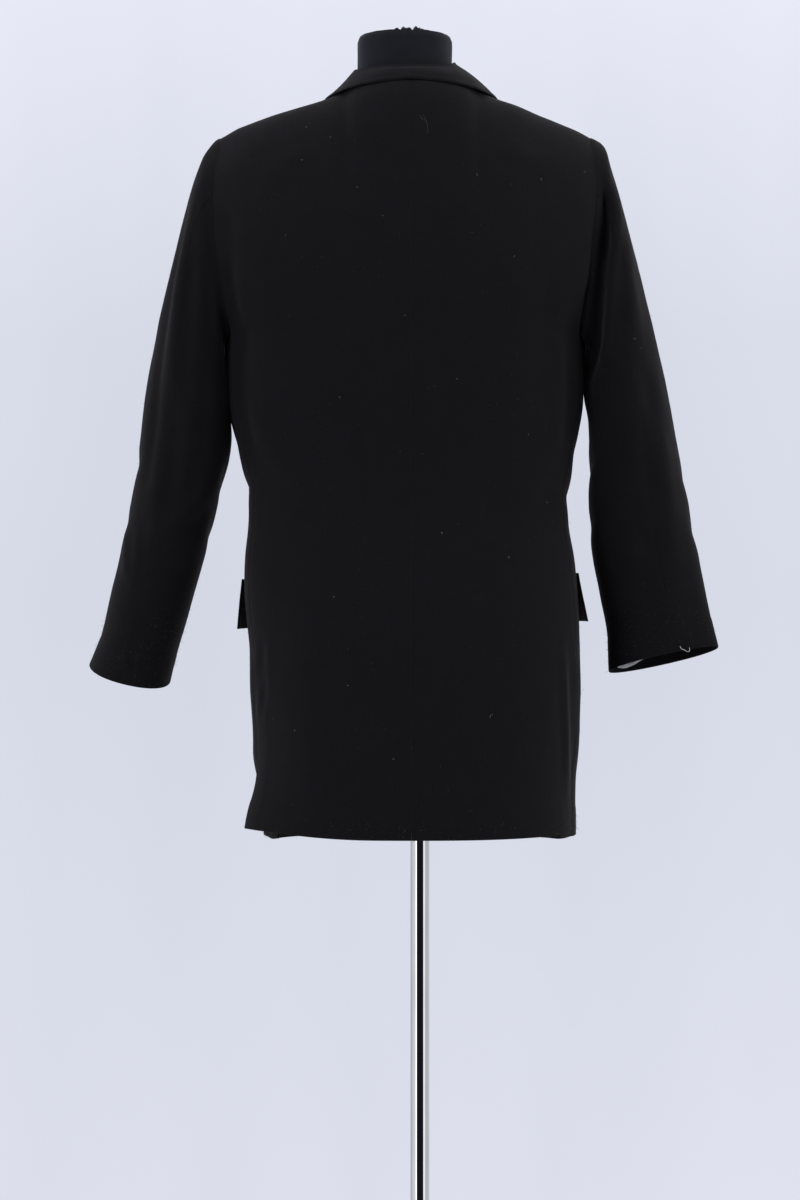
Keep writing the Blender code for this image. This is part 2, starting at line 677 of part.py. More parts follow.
def add_object(collection, name, mesh, finish):
    made = bpy.data.objects.new(name, mesh)
    collection.objects.link(made)
    made.data.materials.append(finish)
    made.data.shade_smooth()
    return made


def two_skins(collection, name, outer, inner, finish, keep=None, turned=False):
    """A sewn panel: a loft between its outer and inner skins, which keeps its seam faces even."""
    rows, columns = len(outer), len(outer[0])
    count = rows * columns
    points = [tuple(point) for grid in (outer, inner) for row in grid for point in row]
    skin_faces = []
    for i in range(rows - 1):
        for j in range(columns - 1):
            if keep is None or keep(i, j):
                low, high = i * columns + j, (i + 1) * columns + j
                face = (low, low + 1, high + 1, high)
                skin_faces.append(face[::-1] if turned else face)
    edges = {(face[k - 1], face[k]) for face in skin_faces for k in range(4)}
    rim = [(b, a, a + count, b + count) for a, b in sorted(edges) if (b, a) not in edges]
    lining_faces = [tuple(index + count for index in reversed(face)) for face in skin_faces]
    mesh = bpy.data.meshes.new(name)
    mesh.from_pydata(points, [], skin_faces + lining_faces + rim)
    drop_loose_points(mesh)
    made = add_object(collection, name, mesh, finish)
    made.data.set_sharp_from_angle(angle=math.radians(40))
    return made


def drop_loose_points(mesh):
    shaped = bmesh.new()
    shaped.from_mesh(mesh)
    loose = [vertex for vertex in shaped.verts if not vertex.link_faces]
    bmesh.ops.delete(shaped, geom=loose, context="VERTS")
    shaped.to_mesh(mesh)
    shaped.free()


def folded_piece(collection, name, grid, finish, turned=False):
    """A piece with free edges, laid on others: an open surface walled to its inner side."""
    rows, columns = len(grid), len(grid[0])
    points = [tuple(point) for row in grid for point in row]
    faces = []
    for i in range(rows - 1):
        for j in range(columns - 1):
            low, high = i * columns + j, (i + 1) * columns + j
            face = (low, low + 1, high + 1, high)
            faces.append(face[::-1] if turned else face)
    mesh = bpy.data.meshes.new(name)
    mesh.from_pydata(points, [], faces)
    made = add_object(collection, name, mesh, finish)
    solidify = made.modifiers.new("wall", "SOLIDIFY")
    solidify.thickness = FOLDED_WALL
    solidify.offset = -1.0
    return made


def body_levels():
    """Levels from hem to shoulder, with one at the vents' top and one at the armpit."""
    levels = list(HEM_ROWS)
    levels += [mix(HEM_ROWS[-1], VENT_LEVEL, (i + 1) / VENT_ROWS) for i in range(VENT_ROWS)]
    levels += [mix(VENT_LEVEL, 1.0, (i + 1) / WAIST_ROWS) for i in range(WAIST_ROWS)]
    levels += [1 + (i + 1) / YOKE_ROWS for i in range(YOKE_ROWS)]
    return levels


def back_panel(collection, name, side):
    outer, inner = [], []
    for level in body_levels():
        last = SIDE_SEAM_ANGLE - SIDE_SEAM_GAP if level <= 1 else edge_angle(level)
        for skin_grid, depth in ((outer, 0.0), (inner, WALL)):
            row = []
            for j in range(BACK_COLUMNS):
                point = skin(last * j / (BACK_COLUMNS - 1), level, side, -depth)
                if j == 0:
                    point[0] += side * SEAM / 2
                if level == 2:
                    point[1] += SEAM / 2
                row.append(point)
            skin_grid.append(row)
    return two_skins(collection, name, outer, inner, blazer_cloth(), turned=side > 0)


def front_columns(level, side):
    """The angles across a front: the vent's lap, the side panel and the front to its edge."""
    height = body_point(160, level, side, True)[2]
    armhole = 180 - (SIDE_SEAM_ANGLE if level <= 1 else edge_angle(level))
    edge = angle_of_across(front_edge_across(height), level, side)
    seam = SIDE_SEAM_ANGLE + SIDE_SEAM_GAP
    lap = [seam - VENT_LAP_ANGLE * (VENT_LAP_COLUMNS - j) for j in range(VENT_LAP_COLUMNS)]
    side_panel = [mix(seam, 180 - SIDE_SEAM_ANGLE, j / SIDE_COLUMNS) for j in range(SIDE_COLUMNS)]
    front = [mix(armhole, edge, j / FRONT_COLUMNS) for j in range(FRONT_COLUMNS + 1)]
    return lap + side_panel + front


def front_panel(collection, name, side):
    """The front with its side panel, which laps under the back below the vent's top."""
    levels = body_levels()
    vent_row = levels.index(VENT_LEVEL)
    armpit_row = levels.index(1.0)
    outer, inner = [], []
    for i, level in enumerate(levels):
        angles = front_columns(level, side)
        for skin_grid, depth in ((outer, 0.0), (inner, WALL)):
            row = []
            for j, angle in enumerate(angles):
                sunk = WALL + VENT_LAP_GAP if i < vent_row and j <= VENT_LAP_COLUMNS else 0.0
                point = skin(angle, level, side, -sunk - depth, True)
                if level == 2:
                    point[1] -= SEAM / 2
                row.append(point)
            skin_grid.append(row)

    def keep(i, j):
        if j < VENT_LAP_COLUMNS:
            return i < vent_row - 1
        if j < VENT_LAP_COLUMNS + SIDE_COLUMNS:
            return i < armpit_row
        return True

    return two_skins(collection, name, outer, inner, blazer_cloth(), keep, turned=side > 0)


def sleeve_piece(collection, name, side, first, last, columns):
    """One of a sleeve's two pieces, between two seams."""
    heads = [i / SLEEVE_HEAD_ROWS for i in range(SLEEVE_HEAD_ROWS)]
    alongs = [HEAD_SHARE * share**HEAD_ROW_SPREAD for share in heads]
    alongs += [mix(HEAD_SHARE, 1.0, i / SLEEVE_ARM_ROWS) for i in range(SLEEVE_ARM_ROWS + 1)]
    first, last = first + SLEEVE_SEAM_GAP, last - SLEEVE_SEAM_GAP
    turns = [mix(first, last, j / (columns - 1)) for j in range(columns)]
    outer = [[sleeve_skin(along, turn, side) for turn in turns] for along in alongs]
    inner = [[sleeve_skin(along, turn, side, -WALL) for turn in turns] for along in alongs]
    return two_skins(collection, name, outer, inner, blazer_cloth(), turned=side > 0)


def sleeve_lining(collection, name, side):
    """The end of the sleeve's lining, a short tube just inside the cuff."""
    rows = SLEEVE_RIGHT if side < 0 else SLEEVE_LEFT
    cuff = rows[-1].height
    columns, steps = LINING_COLUMNS, LINING_ROWS
    inset = WALL + LINING_GAP
    grid = []
    for i in range(steps):
        height = cuff + LINING_SETBACK + LINING_DEPTH * i / (steps - 1)
        ring = sleeve_ring(rows, height)
        row = []
        for j in range(columns):
            row.append(sleeve_ring_point(ring, 360 * j / columns, side, inset))
        grid.append(row)
    points = [tuple(point) for row in grid for point in row]
    faces = []
    for i in range(steps - 1):
        for j in range(columns):
            k = (j + 1) % columns
            face = (i * columns + j, i * columns + k, (i + 1) * columns + k, (i + 1) * columns + j)
            faces.append(face if side > 0 else face[::-1])
    mesh = bpy.data.meshes.new(name)
    mesh.from_pydata(points, [], faces)
    made = add_object(collection, name, mesh, lining_cloth())
    solidify = made.modifiers.new("wall", "SOLIDIFY")
    solidify.thickness = LINING_WALL
    solidify.offset = -1.0
    return made


def pushed_share(place, side):
    """How much of the neck block's push reaches this place of the collar."""
    if side < 0:
        return 0.0
    return ease((place - COLLAR_PUSH_START) / COLLAR_PUSH_RISE) * ease((1.0 - place) / COLLAR_PUSH_FALL)


def collar_row(place, side):
    """Foot, roll and edge of the collar at one place, from 0 at the back to the last section."""
    found = [smooth_column(COLLAR, column, place) for column in COLLAR[0]._fields[1:]]
    foot, roll, edge = (np.array(found[3 * i : 3 * i + 3]) for i in range(3))
    roll += np.array([COLLAR_LEFT_OUT, 0.0, -COLLAR_LEFT_DOWN]) * pushed_share(place, side)
    for point in (foot, roll, edge):
        point[0] = side * point[0] + CENTRE_SEAM
    return foot, roll, edge


def collar_stand(foot, roll, edge):
    """The section's points up the stand and over the roll, to where the fall starts."""
    outward = edge - roll
    outward[2] = 0.0
    outward /= np.linalg.norm(outward)
    up = np.array([0.0, 0.0, 1.0])
    over = [roll + outward * step.out + up * step.up for step in COLLAR_ROLL]
    return [foot, mix(foot, roll, 0.5), *over], outward


def collar_section(place, side):
    """The whole section: up the stand, over the roll and down the fall."""
    foot, roll, edge = collar_row(place, side)
    points, outward = collar_stand(foot, roll, edge)
    fall_start = points[-1]
    height = mix(COLLAR_CROWN, COLLAR_LEFT_CROWN, pushed_share(place, side))
    for share in (0.33, 0.66, 1.0):
        crown = height * math.sin(math.pi * share)
        points.append(mix(fall_start, edge, share) + crown * (outward * 0.5 + np.array([0.0, 0.0, 1.0])))
    return points


def collar_end(side):
    """The collar's end: along the gorge seam over the lapel, then out to the collar's point."""
    foot = front_skin(*COLLAR_LEAF_FOOT, side, COLLAR_LEAF_FOOT_LIFT)
    roll = front_skin(*COLLAR_LEAF_ROLL, side, COLLAR_LEAF_ROLL_LIFT)
    edge = front_skin(*COLLAR_POINT, side, COLLAR_POINT_LIFT)
    points, _ = collar_stand(foot, roll, edge)
    seam = [lapel_point(1.0, share, side, GORGE_GAP) for share in COLLAR_GORGE_SHARES]
    return points + seam + [edge]


def collar_path(place, side):
    last = COLLAR[-1].place
    if place <= last:
        return collar_section(place, side)
    share = ease((place - last) / (1 - last))
    crown = np.array([0.0, -0.5, 1.0]) * COLLAR_LEAF_CROWN * math.sin(math.pi * share)
    pairs = zip(collar_section(last, side), collar_end(side))
    return [mix(start, end, share) + crown for start, end in pairs]


def collar(collection):
    half = [i / COLLAR_HALF_COLUMNS for i in range(COLLAR_HALF_COLUMNS + 1)]
    places = [(-1, place) for place in reversed(half[1:])] + [(1, place) for place in half]
    grid = [collar_path(place, side) for side, place in places]
    return folded_piece(collection, "collar", grid, blazer_cloth(), turned=True)


def lapel_point(up, share, side, above=0.0):
    """A point of a lapel. Up is 0 at the break and 1 at the gorge, share 1 at the outer edge."""
    lowest = LAPEL[0].roll_height if side > 0 else RIGHT_LAPEL_START
    roll_height = mix(lowest, LAPEL[-1].roll_height, up)
    roll_across = front_edge_across(roll_height) - LAPEL_ROLL_OVERHANG
    if side < 0:
        roll_across = max(roll_across, RIGHT_LAPEL_CLEARANCE - front_edge_across(roll_height))
    edge_across = smooth_column(LAPEL, "edge_across", roll_height)
    edge_height = smooth_column(LAPEL, "edge_height", roll_height)
    across = mix(roll_across, edge_across, share)
    upper = ease((up - LAPEL_GORGE_BEND_START) / (1 - LAPEL_GORGE_BEND_START))
    bend = LAPEL_GORGE_BEND * upper * math.sin(math.pi * share)
    height = mix(roll_height, edge_height, share) + bend
    lift = FOLDED_WALL + LAPEL_GAP + LAPEL_ROLL_LIFT * (1 - share) ** 3
    return front_skin(across, height + above, side, lift)


def lapel(collection, name, side):
    """A lapel lies on the front, folded out along the roll line."""
    columns, rows = LAPEL_COLUMNS, LAPEL_ROWS
    grid = []
    for i in range(rows):
        grid.append([lapel_point(i / (rows - 1), j / (columns - 1), side) for j in range(columns)])
    return folded_piece(collection, name, grid, blazer_cloth(), turned=side < 0)


def flap(collection, name, side):
    """A pocket flap hangs from its pocket's mouth, and its lower edge stands off."""
    rows, columns = FLAP_ROWS, FLAP_COLUMNS
    top = FLAP_TOP_LEFT if side > 0 else FLAP_TOP_RIGHT
    grid = []
    for i in range(rows):
        down = i / (rows - 1)
        climb = (top - FLAP_HEIGHT * down - VENT_TOP) / (ARMPIT - VENT_TOP)
        level = mix(VENT_LEVEL, 1.0, climb)
        row = []
        for j in range(columns):
            share = j / (columns - 1)
            corner = FLAP_CORNER_TURN * down**3 * abs(2 * share - 1) ** 6
            angle = mix(FLAP_START_ANGLE, FLAP_END_ANGLE, share) + corner * (0.5 - share)
            flare = FLAP_FLARE * down**1.3 * (1 - FLAP_FLARE_HELD * share)
            lift = FOLDED_WALL + FLAP_GAP + flare
            row.append(skin(angle, level, side, lift, True))
        grid.append(row)
    return folded_piece(collection, name, grid, blazer_cloth(), turned=side < 0)


def turned_piece(collection, name, profile, finish, steps):
    """A turned shape: its profile, down the outer side, swept round the Z axis."""
    mesh = bpy.data.meshes.new(name)
    points = [(radius, 0.0, height) for radius, height in profile]
    mesh.from_pydata(points, [(i, i + 1) for i in range(len(points) - 1)], [])
    made = add_object(collection, name, mesh, finish)
    screw = made.modifiers.new("turn", "SCREW")
    screw.axis = "Z"
    screw.steps = steps
    screw.render_steps = steps
    screw.use_merge_vertices = True
    screw.merge_threshold = 0.00005
    return made


def front_button(collection, name, height):
    """A flat button on the closure, its face turned to the front."""
    half = BUTTON_THICKNESS / 2
    rim = BUTTON_RADIUS
    profile = [
        (0.0, half * 0.5),
        (rim * 0.55, half * 0.5),
        (rim * 0.72, half),
        (rim * 0.92, half),
        (rim, 0.0),
        (rim * 0.90, -half),
        (0.0, -half),
    ]
    made = turned_piece(collection, name, profile, button_horn(), BUTTON_STEPS)
    seat = front_skin(0.0, height, 1, half + BUTTON_GAP)
    made.location = tuple(seat)
    made.rotation_euler = (math.radians(90), 0.0, 0.0)
    return made


def form_ring(ring, count, centre, middle):
    """One level section of the dress form, round a centre and a middle line from front to back."""
    points = []
    for j in range(count):
        angle = 2 * math.pi * j / count
        wide = power(math.sin(angle), 2 / FORM_SQUARENESS)
        deep = power(math.cos(angle), 2 / FORM_SQUARENESS)
        depth = ring.back_depth if deep > 0 else ring.front_depth
        points.append((ring.half_width * wide + centre, depth * deep + middle, ring.height))
    return points


def form_rings(count):
    """The form's sections. Its shoulders run just under the cloth, which rests on them."""
    rings = [form_ring(ring, count, sideways(ring.height, ring.half_width), 0.0) for ring in FORM_BODY]
    for across, back_depth, front_depth in FORM_SHOULDERS:
        height = shoulder_height(across) - WALL - FORM_REST_GAP
        ring = FormRing(height, across, back_depth, front_depth)
        rings.append(form_ring(ring, count, sideways(height, across), ridge_y(across, True)))
    return rings + [form_ring(ring, count, FORM_NECK_CENTRE, 0.0) for ring in FORM_NECK]


def dress_form(collection):
    count = FORM_COLUMNS
    rings = form_rings(count)
    points = [point for ring in rings for point in ring]
    faces = []
    for i in range(len(rings) - 1):
        for j in range(count):
            k = (j + 1) % count
            faces.append((i * count + k, i * count + j, (i + 1) * count + j, (i + 1) * count + k))
    faces.append(tuple(range(count)))
    last = (len(rings) - 1) * count
    faces.append(tuple(last + j for j in reversed(range(count))))
    mesh = bpy.data.meshes.new("dress_form")
    mesh.from_pydata(points, [], faces)
    return add_object(collection, "dress_form", mesh, form_jersey())


def stand(collection):
    form_bottom = FORM_BODY[0].height
    socket_top = form_bottom - SEAM
    socket_bottom = socket_top - SOCKET_HEIGHT
    hub_top = BASE_HUB_HEIGHT
    socket = [
        (0.0, socket_top),
        (SOCKET_RADIUS, socket_top),
        (SOCKET_RADIUS, socket_bottom + SOCKET_BEVEL),
        (SOCKET_RADIUS - SOCKET_BEVEL, socket_bottom),
        (0.0, socket_bottom),
    ]
    pole = [
        (0.0, socket_bottom - SEAM),
        (POLE_RADIUS, socket_bottom - SEAM),
        (POLE_RADIUS, hub_top + SEAM),
        (0.0, hub_top + SEAM),
    ]
    base = [
        (0.0, hub_top),
        (BASE_HUB_RADIUS, hub_top),
        (BASE_HUB_RADIUS + BASE_HUB_FLARE, BASE_HUB_FOOT_HEIGHT),
        (BASE_DISH_RADIUS, BASE_DISH_HEIGHT),
        (BASE_RADIUS - BASE_RIM_WIDTH, BASE_EDGE_HEIGHT + BASE_RIM_RISE),
        (BASE_RADIUS - EDGE_BEVEL, BASE_EDGE_HEIGHT),
        (BASE_RADIUS, BASE_EDGE_HEIGHT - EDGE_BEVEL),
        (BASE_RADIUS, 0.0),
        (0.0, 0.0),
    ]
    turned_piece(collection, "pole_socket", socket, chrome(), POLE_STEPS)
    turned_piece(collection, "pole", pole, chrome(), POLE_STEPS)
    turned_piece(collection, "base_plate", base, chrome(), BASE_STEPS)


def clear_scene():
    for made in list(bpy.data.objects):
        bpy.data.objects.remove(made, do_unlink=True)


def main():
    clear_scene()
    collection = bpy.data.collections.new("blazer_on_dress_form")
    bpy.context.scene.collection.children.link(collection)
    for word, side in (("left", 1), ("right", -1)):
        back_panel(collection, "back_" + word, side)
        front_panel(collection, "front_" + word, side)
        upper, under = "sleeve_upper_" + word, "sleeve_under_" + word
        sleeve_piece(collection, upper, side, FORE_SEAM - 360, HIND_SEAM, SLEEVE_UPPER_COLUMNS)
        sleeve_piece(collection, under, side, HIND_SEAM, FORE_SEAM, SLEEVE_UNDER_COLUMNS)
        lapel(collection, "lapel_" + word, side)
        flap(collection, "pocket_flap_" + word, side)
    sleeve_lining(collection, "sleeve_lining_right", -1)
    collar(collection)
    for number, height in enumerate(BUTTON_HEIGHTS, 1):
        front_button(collection, f"front_button_{number}", height)
    dress_form(collection)
    stand(collection)


main()
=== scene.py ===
"""The looks of a long tailored blazer on a limbless dress form.

Each panel of cloth is a thin shell on the form of its solid, finer than it, with creases, seams,
rolled edges and a slubby weave. Metres, +Z up, the blazer's front faces -Y and its back +Y.
"""

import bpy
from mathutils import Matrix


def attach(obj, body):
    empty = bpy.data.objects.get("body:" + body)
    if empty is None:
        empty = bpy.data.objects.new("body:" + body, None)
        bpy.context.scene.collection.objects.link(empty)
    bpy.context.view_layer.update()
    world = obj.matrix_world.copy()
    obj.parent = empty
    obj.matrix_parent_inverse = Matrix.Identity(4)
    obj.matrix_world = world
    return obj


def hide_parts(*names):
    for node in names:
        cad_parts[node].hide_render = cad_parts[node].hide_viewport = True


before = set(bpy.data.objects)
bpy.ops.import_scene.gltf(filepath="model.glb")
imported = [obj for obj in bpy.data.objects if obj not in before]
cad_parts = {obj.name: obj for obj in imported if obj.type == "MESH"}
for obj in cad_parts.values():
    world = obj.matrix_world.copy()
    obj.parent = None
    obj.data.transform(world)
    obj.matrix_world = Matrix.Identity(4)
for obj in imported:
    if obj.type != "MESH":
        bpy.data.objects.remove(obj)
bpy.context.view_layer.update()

import math
from bisect import bisect_right
from collections import namedtuple
from functools import reduce

import bpy
import bmesh
import numpy as np
from mathutils import Vector, noise
from mathutils.bvhtree import BVHTree


def table(kind, *rows):
    """A table whose rows are named tuples of one kind."""
    return [kind(*row) for row in rows]


# A crease is placed on a view of the blazer: its back, front and top over X, its sides over Y.
# Width is half the crease's, depth is negative for a trough, and bow bends it sideways at its middle.
Crease = namedtuple("Crease", "view a0 z0 a1 z1 width depth bow")


def creases_on(**views):
    """Creases by the view that they are placed on, from rows in millimetres."""
    return [Crease(view, *(size / 1000 for size in row)) for view in views for row in views[view]]


# The wearer's sides, by the sign of their X
SIDE_NAMES = {1: "left", -1: "right"}

# Cloth
WALL = 0.0018
FOLDED_WALL = 0.0022

# Heights of the garment above the floor
BACK_HEM = 0.6398
FRONT_HEM = 0.6240
SIDE_HEM = 0.6370
BACK_CORNER_KICK_LEFT = 0.0068
BACK_CORNER_KICK_RIGHT = 0.0015
BACK_KICK_START = 8.0
BACK_KICK_RUN = 60.0
FRONT_DROP_START = 84.0
FRONT_DROP_RUN = 34.0
ARMPIT = 1.207
VENT_TOP = 0.840
BREAK_POINT = 1.085
NECK_SEAM_SIDE = 1.4875

# Where the garment hangs from side to side: its centre seams, its armholes and its collar
CENTRE_SEAM = 0.0100
SLEEVE_CENTRE = 0.0173
SIDE_SHIFT_START = 0.110
SIDE_SHIFT_END = 0.160

# Widths and places, from the garment's centre line
NECK_HALF_WIDTH = 0.072
NECK_BACK = 0.067
NECK_FRONT_REACH = -0.050
RIDGE_AT_NECK = 0.010
RIDGE_AT_SHOULDER = -0.005
SHOULDER_HALF_WIDTH = 0.212
SIDE_SEAM_ANGLE = 72.0
FRONT_OVERLAP = 0.020
FRONT_CORNER_RADIUS = 0.035
SQUARENESS = 2.4
SHOULDER_ROLL = 2.6
OVERLAP_LIFT = WALL + 0.0009
OVERLAP_END = 0.070
OVERLAP_FADE = 0.035
OVERLAP_TOP = 1.27
OVERLAP_TOP_FADE = 0.12
ROLL_LINE_BOW = 0.006
ROLL_LINE_OFFSET = 0.0005
ARMHOLE_GAP = 0.0008
VENT_LAP_ANGLE = 5.5
VENT_LAP_GAP = 0.0008
VENT_LAP_COLUMNS = 2
# The left side vent stands open: the back's corner flares and the side panel turns in
OPEN_VENT_TOP = 0.735
OPEN_VENT_RUN = 0.100
BACK_FLARE = 0.042
BACK_FLARE_START = 35.0
BACK_FLARE_RUN = 37.0
SIDE_TURN_IN = 0.105
SIDE_TURN_IN_END = 150.0
SIDE_TURN_IN_RUN = 55.0

# The body below the armpits: half width, the middle between its sides, and its depths
BodySection = namedtuple("BodySection", "height half_width middle back_depth front_depth")
BODY = table(BodySection,
    (0.62, 0.189, 0.0108, 0.129, 0.135), (0.655, 0.1882, 0.01, 0.129, 0.1345),
    (0.7, 0.1852, 0.0066, 0.129, 0.134), (0.735, 0.1868, 0.0048, 0.129, 0.134),
    (0.8, 0.1896, 0.0054, 0.128, 0.133), (0.85, 0.1896, 0.006, 0.127, 0.132),
    (0.905, 0.1912, 0.0098, 0.122, 0.129), (0.957, 0.1883, 0.0118, 0.113, 0.124),
    (0.991, 0.1838, 0.0129, 0.107, 0.12), (1.025, 0.1832, 0.0136, 0.1038, 0.118),
    (1.06, 0.1885, 0.0148, 0.103, 0.118), (1.095, 0.197, 0.0157, 0.1055, 0.1205),
    (1.129, 0.2042, 0.0165, 0.1085, 0.1245), (1.165, 0.2062, 0.017, 0.112, 0.128),
    (1.207, 0.2068, 0.0173, 0.115, 0.13),
)

# The body above the armpits, by the share of the way up to the shoulder line
YokeSection = namedtuple("YokeSection", "share armhole_x edge_angle back_depth front_depth")
YOKE = table(YokeSection,
    (0.0, 0.1983, 72, 0.115, 0.13), (0.12, 0.204, 66, 0.117, 0.13), (0.27, 0.21, 63, 0.119, 0.127),
    (0.45, 0.2155, 62, 0.119, 0.12), (0.65, 0.218, 62, 0.118, 0.113), (0.85, 0.2165, 62, 0.117, 0.108),
    (1, 0.212, 62, 0.116, 0.106),
)

# The shoulder line seen from the back
ShoulderPoint = namedtuple("ShoulderPoint", "across height")
SHOULDER = table(ShoulderPoint,
    (0.0, 1.494), (0.04, 1.4915), (0.072, 1.4865), (0.102, 1.4757), (0.125, 1.469), (0.15, 1.4605),
    (0.179, 1.4503), (0.199, 1.4425), (0.212, 1.4362),
)

# The sleeves from the upper arm to the cuff. Reach is the ring's centre from the centre line,
# forward how far it lies before the pole's axis, slope the outward rise of the ring in degrees,
# and pitch the rise of the ring's back over its front, for each metre between them.
SleeveRing = namedtuple("SleeveRing", "height reach half_width half_depth forward slope pitch")
SLEEVE_LEFT = table(SleeveRing,
    (1.158, 0.25, 0.044, 0.066, 0.0, 8, 0.0), (1.096, 0.251, 0.052, 0.06, 0.002, 9, 0.0),
    (1.027, 0.2636, 0.0492, 0.056, 0.008, 11, 0.0), (0.951, 0.2818, 0.0472, 0.051, 0.016, 13, 0.0),
    (0.898, 0.296, 0.0461, 0.0485, 0.022, 13.5, -0.06),
    (0.85, 0.3092, 0.0452, 0.0465, 0.027, 13.4, -0.18),
    (0.82, 0.3196, 0.0479, 0.0455, 0.03, 13.2, -0.27),
)
SLEEVE_RIGHT = table(SleeveRing,
    (1.158, 0.2522, 0.0456, 0.068, 0.0, 8, 0.0), (1.096, 0.2606, 0.0488, 0.064, 0.002, 9, 0.0),
    (1.02, 0.2682, 0.0564, 0.054, 0.008, 9.5, 0.02), (0.974, 0.2741, 0.0594, 0.046, 0.012, 10, 0.06),
    (0.918, 0.2854, 0.0602, 0.037, 0.017, 10.5, 0.14), (0.88, 0.293, 0.0606, 0.031, 0.021, 11.2, 0.21),
    (0.836, 0.2999, 0.0648, 0.0235, 0.024, 12.4, 0.3),
)

# How the sleeve's head leaves the armhole and meets the arm, at its outer side and its underarm
SleeveEnd = namedtuple("SleeveEnd", "across back up")
HEAD_LEAVES_OUTER = SleeveEnd(0.080, 0.0, 0.012)
HEAD_LEAVES_FLANK = SleeveEnd(0.030, 0.022, -0.060)
HEAD_LEAVES_UNDER = SleeveEnd(0.006, 0.0, -0.030)
HEAD_ARRIVES_OUTER = 0.205
HEAD_ARRIVES_FLANK = 0.020
HEAD_ARRIVES_UNDER = 0.060
HEAD_SHARE = 0.40
SLEEVE_ROUNDNESS = 0.94

# The seams of a two-piece sleeve, as angles round it from its outer side over its back
HIND_SEAM = 82.0
FORE_SEAM = 232.0
ARMHOLE_BACK_CORNER = 148.0
LINING_DEPTH = 0.055
LINING_SETBACK = 0.003
LINING_GAP = 0.0016
LINING_WALL = 0.0010
# It hangs down to the cuff at one place round the sleeve and is held higher elsewhere
LINING_LOW_TURN = 222.0
LINING_LOW_WIDTH = 42.0
LINING_LOW = 0.0035
LINING_HELD = 0.0230

# The largest folds. Along and around say where a fold starts and ends on its piece: on a
# sleeve, the share from armhole to cuff and the angle round it. Depth is negative for a trough.
SleeveFold = namedtuple("SleeveFold", "side along_0 around_0 along_1 around_1 width depth")
SLEEVE_FOLDS = table(SleeveFold,
    (1, 0.16, 46, 0.62, 52, 0.011, -0.0042), (1, 0.12, 74, 0.55, 84, 0.013, 0.003),
    (1, 0.28, 118, 0.66, 108, 0.014, -0.004), (1, 0.6, 150, 0.74, 70, 0.013, 0.0028),
    (-1, 0.18, 78, 0.52, 96, 0.013, 0.003), (-1, 0.3, 128, 0.6, 112, 0.014, -0.0038),
    (-1, 0.5, 60, 0.86, 66, 0.015, 0.0026), (1, 0.45, 268, 0.62, 330, 0.014, -0.0036),
    (-1, 0.48, 262, 0.66, 320, 0.014, -0.0036),
)
# The metres of cloth in a sleeve's whole length and in one degree round it
SLEEVE_FOLD_SCALES = (0.60, 0.0010)

# On the body, folds run between two heights at angles from the centre back
BodyFold = namedtuple("BodyFold", "side height_0 angle_0 height_1 angle_1 width depth")
BODY_FOLDS = table(BodyFold,
    (1, 1.235, 58, 1.06, 64, 0.016, -0.004), (-1, 1.25, 57, 1.07, 66, 0.015, -0.0042),
    (1, 1.12, 60, 1.01, 34, 0.018, 0.0022), (-1, 1.11, 62, 1, 40, 0.018, 0.0022),
    (1, 1.06, 96, 0.96, 132, 0.017, 0.0024), (-1, 1.06, 96, 0.96, 132, 0.017, 0.0024),
)
# Heights are in metres already, and a degree round the body is this much cloth
BODY_FOLD_SCALES = (1.0, 0.0024)

# The collar round the neck: the foot of its stand, its roll and the edge of its fall
CollarSection = namedtuple(
    "CollarSection", "place foot_x foot_y foot_z roll_x roll_y roll_z edge_x edge_y edge_z"
)
COLLAR = table(CollarSection,
    (0.0, 0.0, 0.0672, 1.495, 0.0, 0.0655, 1.5062, 0.0, 0.087, 1.488),
    (0.22, 0.035, 0.06, 1.4942, 0.027, 0.059, 1.5075, 0.047, 0.078, 1.4845),
    (0.42, 0.06, 0.041, 1.4925, 0.044, 0.0385, 1.5125, 0.08, 0.053, 1.4804),
    (0.6, 0.0705, 0.01, 1.4895, 0.048, 0.006, 1.519, 0.099, 0.005, 1.4803),
    (0.8, 0.0722, -0.024, 1.4872, 0.06, -0.026, 1.502, 0.1085, -0.035, 1.4735),
)
# The rounding over the roll, from the stand to where the fall starts
RollStep = namedtuple("RollStep", "out up")
COLLAR_ROLL = table(RollStep, (0.0, -0.002), (0.0028, 0.0012), (0.0058, -0.0018))
# The neck block pushes the left half of the roll outward and down
COLLAR_LEFT_OUT = 0.0155
COLLAR_LEFT_DOWN = 0.0085
COLLAR_PUSH_START = 0.15
COLLAR_PUSH_RISE = 0.45
COLLAR_PUSH_FALL = 0.40
COLLAR_CROWN = 0.0022
COLLAR_LEFT_CROWN = -0.0012
COLLAR_LEAF_FOOT = (0.0676, 1.4655)
COLLAR_LEAF_ROLL = (0.0660, 1.4640)
COLLAR_LEAF_CROWN = 0.0025
COLLAR_LEAF_FOOT_LIFT = 0.0030
COLLAR_LEAF_ROLL_LIFT = 0.0062
COLLAR_POINT_LIFT = 0.0044
COLLAR_GORGE_SHARES = (0.22, 0.48)
COLLAR_POINT = (0.1230, 1.4440)

